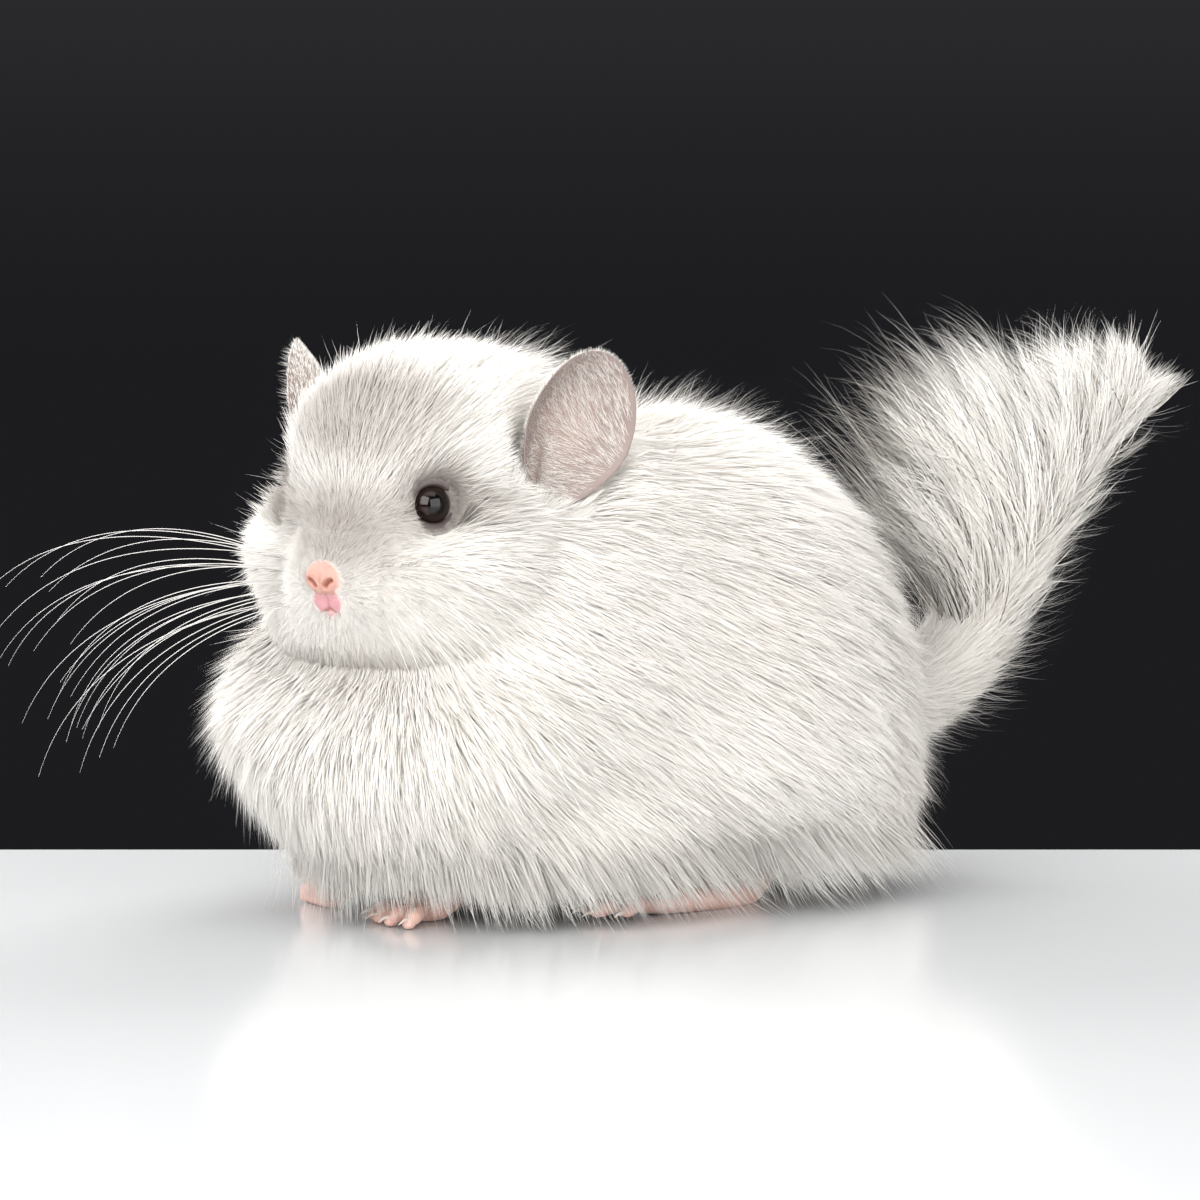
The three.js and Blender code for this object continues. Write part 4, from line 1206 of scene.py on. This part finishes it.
# Whiskers: five rows of five a side, where the solids carry theirs, and finer
whisker_stuff, tree, shader = nodes_of("whisker")
whisker_colour = colour_mix(tree, attribute(tree, "along"), (0.55, 0.52, 0.49), (0.92, 0.90, 0.88))
paint(tree, shader, whisker_colour, 0.35)
WHISKER_RINGS, WHISKER_ROWS, LONGEST_WHISKER = 40, 5, 118
whisker_random = np.random.default_rng(3)


def whisker_line(root, out, start, end, length, steps=16):
    """A whisker's route from its root, turning from start to end and kept clear of the coat."""
    at = root + out * 5.5
    line = [root, at]
    for i in range(1, steps + 1):
        t = (i - 0.5) / steps
        at = at + unit(mix(start, end, t**1.2)) * (length / steps)
        out = unit(gradient(coat, at[None]))[0]
        at = at + out * max(0.0, 3.5 - float(coat(at[None])[0])) * 0.8
        line.append(at)
    return np.array(line)


for name, s in SIDES:
    points, faces, shares = [], [], []
    for row in range(WHISKER_ROWS):
        for column in range(WHISKER_ROWS):
            up, back = row / (WHISKER_ROWS - 1), column / (WHISKER_ROWS - 1)
            guess = head_point(s * mix(16, 24, back), mix(38, 30, back), mix(-27, -14.5, up))
            root = onto(plain_skin, guess[None], 6)
            out = unit(gradient(plain_skin, root))[0]
            root = root[0] - out * 0.8
            varied = 0.84 + 0.16 * whisker_random.random()
            length = LONGEST_WHISKER * mix(0.82, 0.97, up) * mix(0.74, 0.98, back) * varied
            wander = whisker_random.standard_normal(3) * 0.05
            start = head_direction(s * 0.92, mix(0.5, 0.15, back), mix(-0.35, 0.18, up))
            start = unit(mix(start, out, 0.35) + wander)
            end = head_direction(s * mix(0.4, 0.8, up), mix(0.05, -0.25, back), mix(-1.0, -0.75, up)) + wander
            spine, _ = spline(whisker_line(root, out, start, end, length), WHISKER_RINGS)
            tangent = unit(np.gradient(spine, axis=0))
            side = unit(np.cross(tangent, UP))
            top = np.cross(side, tangent)
            faces += strip_faces(WHISKER_RINGS, 4, len(points))
            for i, t in enumerate(np.linspace(0, 1, WHISKER_RINGS)):
                r = mix(0.16, 0.03, t**0.9)
                ring = [side[i] * c + top[i] * d for c, d in ((1, 0), (0, 1), (-1, 0), (0, -1))]
                points += [spine[i] + r * way for way in ring]
                shares += [t] * 4
    faces = np.array(faces)[:, ::-1]
    piece = make_mesh(f"whiskers_{name}", points, faces, attributes={"along": shares})
    finished(piece, "coat", whisker_stuff)

# Paws
paw_stuff = flesh_material("paw_skin", (0.80, 0.53, 0.45), (0.70, 0.42, 0.35), 0.3, 1500, 0.5)[0]
claw_stuff, tree, shader = nodes_of("claw")
claw_tone = noise(tree, place(tree), 500, 2.0)
paint(tree, shader, colour_mix(tree, claw_tone, (0.62, 0.50, 0.42), (0.80, 0.70, 0.62)), 0.3)
CLAW_RINGS, CLAW_SIDES = 9, 10


def limb(route, width, depth_of, blunt=0.4, rings=16, sides=16):
    return tube(
        np.array(route, float),
        lambda t: width(t) / 2 * rounded(t, blunt),
        lambda t: depth_of(t) / 2 * rounded(t, blunt),
        X, rings, sides,
    )


def claw(tip_at, heading, size):
    heading = unit(np.array(heading, float))
    start = np.array(tip_at, float)
    bend, point = start + heading * size * 0.55 + [0, 0, 0.25], start + heading * size - [0, 0, 0.5]
    line, tangents = spline([start, bend, point], CLAW_RINGS)
    points = []
    for i, t in enumerate(np.linspace(0, 1, CLAW_RINGS)):
        side = unit(np.cross(tangents[i], UP))
        top = np.cross(side, tangents[i])
        w = mix(0.85, 0.10, t**1.2)
        turns = turns_of(CLAW_SIDES)
        points += [line[i] + side * w * 0.8 * math.cos(a) + top * w * math.sin(a) for a in turns]
    return np.array(points), strip_faces(CLAW_RINGS, CLAW_SIDES)


def digit(route, thick, ripple):
    """A toe with knuckles, as a limb that swells and narrows along its length."""

    def knuckles(t):
        return thick + ripple * math.cos(9 * t)

    return limb(route, knuckles, knuckles, 0.4, 14, 14)


def foot(kind, name, forms, claws, voxel, solid):
    """One skin for a foot, standing on the floor, with its claws. Returns its points and triangles."""
    points, faces = fused(f"{kind}_form_{name}", forms, voxel, 3)
    points[:, 2] = np.maximum(points[:, 2], 0.02)
    finished(make_mesh(f"{kind}_{name}", points, faces), "paw_skin", paw_stuff, f"{solid}_{name}")
    claw_points, claw_faces = gathered(claws)
    piece = make_mesh(f"{kind.split('_')[0]}_claws_{name}", claw_points, np.array(claw_faces)[:, ::-1])
    finished(piece, "eye", claw_stuff)
    return points, faces


for name, s in SIDES:
    curled = s < 0
    paw = FOREPAWS[s]
    shoulder = np.array([s * 30.0, -52, 42])
    wrist = paw + ([s * 2, -4, 16] if curled else [s * 2, 3, 9])
    elbow = ((shoulder[0] + wrist[0]) / 2, -58, 29)
    knuckle, end = (7, 5) if curled else (5, 4)
    forms = [
        limb(
            [shoulder, elbow, wrist, paw + [0, -5, knuckle], paw + [0, -11, end]],
            lambda t: mix(20, PAW_WIDTH - 2.5, t), lambda t: mix(20, 12, t), 0.4, 22, 20,
        )
    ]
    claws = []
    for i in range(4):
        spread = (i - 1.5) / 1.5
        wide = abs(spread)
        if curled:
            route = [paw + [spread * 4.6, -5, 8], paw + [spread * 6, -7, 2.6], paw + [spread * 5.4, 1, 3.2]]
            claws.append(claw(paw + [spread * 5.5, 0.2, 3.4], (0, 1, 0.45), 4.4))
            forms.append(digit(route, 4.9, 0.5))
            continue
        route = [
            paw + [spread * 4.6, -5, 5], paw + [spread * 8.5, -12.5 + wide * 2.5, 3.9],
            paw + [spread * 10.5, -17.5 + wide * 3.5, 2.2],
        ]
        forms.append(digit(route, 4.9, 0.5))
        tip = paw + [spread * 10.3, -16.4 + wide * 3.4, 2.9]
        claws.append(claw(tip, (spread * 0.25, -1, -0.12), 4.6))
        grid, around_faces = sphere_points(10, 12)
        pad_at = paw + np.array([spread * 10.2, -16.6 + wide * 3.4, 1.6])
        forms.append((pad_at + grid * [2.0, 2.2, 1.5], around_faces))
    points, faces = foot("front_paw", name, forms, claws, 0.55, "front_leg")
    paws = [("front", points, faces, 7.5 if curled else 6.0, 8 - paw[1])]

    heel, ball = np.array([s * 34.0, 38, 0]), np.array([s * 41.0, -6, 0])
    ankle = [(s * 34, 38, 34), heel + [0, 2, 12], heel + [0, -4, 4.4]]
    forms = [
        limb(
            ankle + [ball + [0, 14, 4.4], ball + [0, -3, 4.4]],
            lambda t: mix(22, 16.5, t), lambda t: mix(22, 9.6, min(1, t * 1.6)), 0.35, 26, 20,
        )
    ]
    claws = []
    outer_toe = 3 if s > 0 else 0
    for i in range(4):
        spread = (i - 1.5) / 1.5
        reach = (17 - 3 * abs(spread)) * (0.6 if i == outer_toe else 1.0)
        middle, tip = ball + [spread * 7.4, -reach * 0.6, 4.6], ball + [spread * 8.6, -reach, 2.4]
        forms.append(digit([ball + [spread * 5.6, 1, 5], middle, tip], 5.2, 0.4))
        claws.append(claw(ball + [spread * 8.5, 0.8 - reach, 3.2], (spread * 0.1, -1, -0.15), 4.2))
    points, faces = foot("hind_paw", name, forms, claws, 0.6, "hind_foot")
    paws.append(("hind", points, faces, 7.0, 4))

    # Short fur down the legs, thinning to bare toes
    for kind, points, faces, low_edge, toes_back in paws:
        c = points[faces]
        middle_of = c.mean(1)
        height = middle_of[:, 2]
        on_leg = smooth(height, low_edge - 2.5, low_edge + 5)
        on_back = smooth(middle_of[:, 1] + toes_back, -2, 6) * smooth(height, 3, 6)
        furry = np.clip(on_leg + 0.8 * on_back + 0.05 * smooth(height, 2.5, 4.5), 0, 1)
        count = int(PAW_HAIRS * HAIR_SHARE)
        c = c[picked(areas(c) * furry, count)]
        u = rng.dirichlet((1, 1, 1), count)
        root = (c * u[:, :, None]).sum(1)
        normal = unit(np.cross(c[:, 1] - c[:, 0], c[:, 2] - c[:, 0]))
        flow = along_skin(np.array([0, -0.9, -0.5]), normal)
        length = 1.5 + 4.0 * smooth(root[:, 2], 5, 16)
        tufts(f"{kind}_paw_fur_{name}", root, normal, flow, length, 0.26, 2, (45, 78), coat_stuff, None, 0.2)

# The plume of the tail: many fine hairs in loose locks that fan forward, up and back from its upper side
RIM = [(0, 107, 110), (0, 95, 132), (0, 98, 155), (0, 114, 171), (0, 140, 170)]
RIM += [(0, 168, 172), (0, 192, 171), (0, 205, 173), (0, 221, 152)]
RIM_STATIONS = 60
rim_line, _ = spline(RIM, RIM_STATIONS)
plume_stuff = coat_material("plume_hair", 0.86)


def plume(name, locks, per_lock, stations, width, reach_low, reach_high, tightness, start=0.38):
    """Locks of fine hairs from the tail towards its rim. The low ones are swept along the tail."""
    random = np.random.default_rng(len(name) * 13 + locks)
    t = start + (1 - start) * random.random(locks) ** 0.92
    turn = np.clip(random.normal(0, 0.85, locks), -2.6, 2.6)
    share = np.clip((t - 0.37) / 0.63, 0, 1)
    line, along = tail_at(t)
    side = unit(X - along[:, :1] * along)
    dorsal = np.cross(side, along)
    out = dorsal * np.cos(turn)[:, None] + side * np.sin(turn)[:, None]
    root = line + out * (tail_skin(t) * 0.9)[:, None]
    rim_share = np.clip(share + 0.10 * random.standard_normal(locks), 0, 1)
    stops = np.linspace(0, 1, RIM_STATIONS)
    tip = np.stack([np.interp(rim_share, stops, rim_line[:, k]) for k in range(3)], 1)
    tip[:, 0] += 36 * np.sin(turn) * mix(1, 0.5, share)
    low = smooth(np.abs(turn), 0.6, 1.8)[:, None]
    swept = root + along * 27 + out * 9
    tip = mix(tip, swept, low)
    reach = (tip - root) * random.uniform(reach_low, reach_high, locks)[:, None]
    bow = unit(out + 0.8 * along) * (np.linalg.norm(reach, axis=1) * 0.16)[:, None]
    count = locks * per_lock
    owner = np.repeat(np.arange(locks), per_lock)
    jitter = random.standard_normal((count, 3))
    jitter -= (jitter * out[owner]).sum(1)[:, None] * out[owner] * 0.4
    span = np.linalg.norm(reach, axis=1)[owner][:, None]
    size = random.uniform(0.62, 1.06, count)[:, None]
    splay = random.standard_normal((count, 3))
    wave = random.uniform(0, 2 * math.pi, (count, 1))
    path = []
    for i in range(stations + 1):
        u = i / stations
        centre = root[owner] + reach[owner] * u * size + bow[owner] * (4 * u * (1 - u)) * size
        gather = 1 - tightness * smooth(np.array(u), 0.0, 0.75)
        loose = splay * span * 0.055 * u**2
        waves = side[owner] * np.sin(wave + 5 * u) * span * 0.012 * u
        path.append(centre + jitter * 2.4 * gather + loose + waves)
    across = out[owner] + 0.6 * random.standard_normal((count, 3))
    side_of = unit(np.cross(reach[owner], across))
    facing_of = unit(np.cross(side_of, reach[owner]))
    lean = unit(out[owner] + 0.25 * unit(reach[owner]))
    shade = unit(facing_of * np.sign(dot(facing_of, lean)) * 0.35 + lean)
    half_widths = [width * 0.5 * (1 - (i / stations) ** 1.3) for i in range(stations)]
    same = stations + 1
    points, shading, along = ribbons(path, [side_of] * same, [shade] * same, half_widths, 0.3)
    tint = random.random(count) ** 2
    spot = unwrap(root + out * 0.1)[owner] + jitter[:, :2] * 0.002
    make_blades(name, points, shading, along, tint, spot, "plume", plume_stuff)


plume("plume_full", int(380 * HAIR_SHARE), 40, 6, 0.31, 0.55, 0.92, 0.62)
plume("plume_long", int(150 * HAIR_SHARE), 20, 7, 0.22, 0.80, 1.04, 0.45)

# Floor and soft studio light
floor_mesh = bpy.data.meshes.new("floor")
sight_flat = unit(np.array([-math.sin(AZIMUTH), math.cos(AZIMUTH), 0]))
right_flat = np.array([math.cos(AZIMUTH), math.sin(AZIMUTH), 0.0])
FLOOR_HALF, FLOOR_BEHIND = 1400, 92
ends = [(-FLOOR_HALF, -FLOOR_HALF), (FLOOR_HALF, -FLOOR_HALF)]
ends += [(FLOOR_HALF, FLOOR_BEHIND), (-FLOOR_HALF, FLOOR_BEHIND)]
floor_corners = [tuple(metres(right_flat * a + sight_flat * b) * [1, 1, 0]) for a, b in ends]
floor_mesh.from_pydata(floor_corners, [], [(0, 1, 2, 3)])
floor = bpy.data.objects.new("floor", floor_mesh)
bpy.context.scene.collection.objects.link(floor)
floor_stuff, tree, shader = nodes_of("floor")
cloud = noise(tree, place(tree), 3, 2.0)
paint(tree, shader, colour_mix(tree, cloud, (0.60, 0.605, 0.61), (0.63, 0.635, 0.64)), 0.14, 0.5)
floor_mesh.materials.append(floor_stuff)

world = bpy.data.worlds.new("studio")
world.use_nodes = True
tree = world.node_tree
sky = tree.nodes["Background"]
split = add_node(tree, "ShaderNodeSeparateXYZ")
tree.links.new(add_node(tree, "ShaderNodeTexCoord").outputs["Generated"], split.inputs[0])
fade = add_node(tree, "ShaderNodeMapRange", interpolation_type="SMOOTHSTEP")
fade.inputs["From Min"].default_value = -0.06
fade.inputs["From Max"].default_value = 0.16
tree.links.new(split.outputs["Z"], fade.inputs["Value"])
backdrop = colour_mix(tree, fade.outputs["Result"], (0.012, 0.012, 0.014), (0.055, 0.055, 0.058))
tree.links.new(backdrop, sky.inputs[0])
sky.inputs[1].default_value = 1.0
bpy.context.scene.world = world
bpy.context.scene.view_settings.view_transform = "Standard"


def softbox(name, offset, size, power):
    """A soft rectangular light at that offset from the animal's middle, turned towards it."""
    data = bpy.data.lights.new(name, "AREA")
    data.shape = "RECTANGLE"
    data.size, data.size_y = size
    data.energy = power
    light = bpy.data.objects.new(name, data)
    light.location = metres(middle_at + offset)
    light.rotation_mode = "QUATERNION"
    aim = Vector(metres(middle_at)) - Vector(metres(middle_at + offset))
    light.rotation_quaternion = aim.to_track_quat("-Z", "Y")
    bpy.context.scene.collection.objects.link(light)


middle_at = np.array([0.0, 20, 80])
toward = -sight_flat
softbox("key", toward * 950 - right_flat * 550 + UP * 560, (1.2, 0.9), 19.5)
softbox("top", UP * 1200 + toward * 100, (1.5, 1.5), 12)
softbox("fill", toward * 1000 + right_flat * 800 + UP * 250, (1.4, 1.2), 17)
softbox("back", right_flat * 500 - toward * 900 + UP * 900, (1.0, 0.7), 17)
softbox("back_left", UP * 600 - toward * 700 - right_flat * 900, (1.0, 0.7), 15)

# Camera, at the photograph's angle
DISTANCE, PIXELS_PER_MM = 1515.0, 3.3
PICTURE_MIDDLE, ANIMAL_ACROSS, FLOOR_DOWN = 600, 576, 898
sight = sight_flat * math.cos(ELEVATION) - UP * math.sin(ELEVATION)
target = right_flat * (PICTURE_MIDDLE - ANIMAL_ACROSS) / PIXELS_PER_MM
target = target + UP * (FLOOR_DOWN - PICTURE_MIDDLE) / PIXELS_PER_MM / math.cos(ELEVATION)
camera_data = bpy.data.cameras.new("camera")
camera_data.lens = 150
camera_data.sensor_width = 36
camera_data.clip_start = 0.05
camera = bpy.data.objects.new("camera", camera_data)
camera.location = metres(target - sight * DISTANCE)
camera.rotation_mode = "QUATERNION"
camera.rotation_quaternion = Vector(sight).to_track_quat("-Z", "Y")
bpy.context.scene.collection.objects.link(camera)
bpy.context.scene.camera = camera
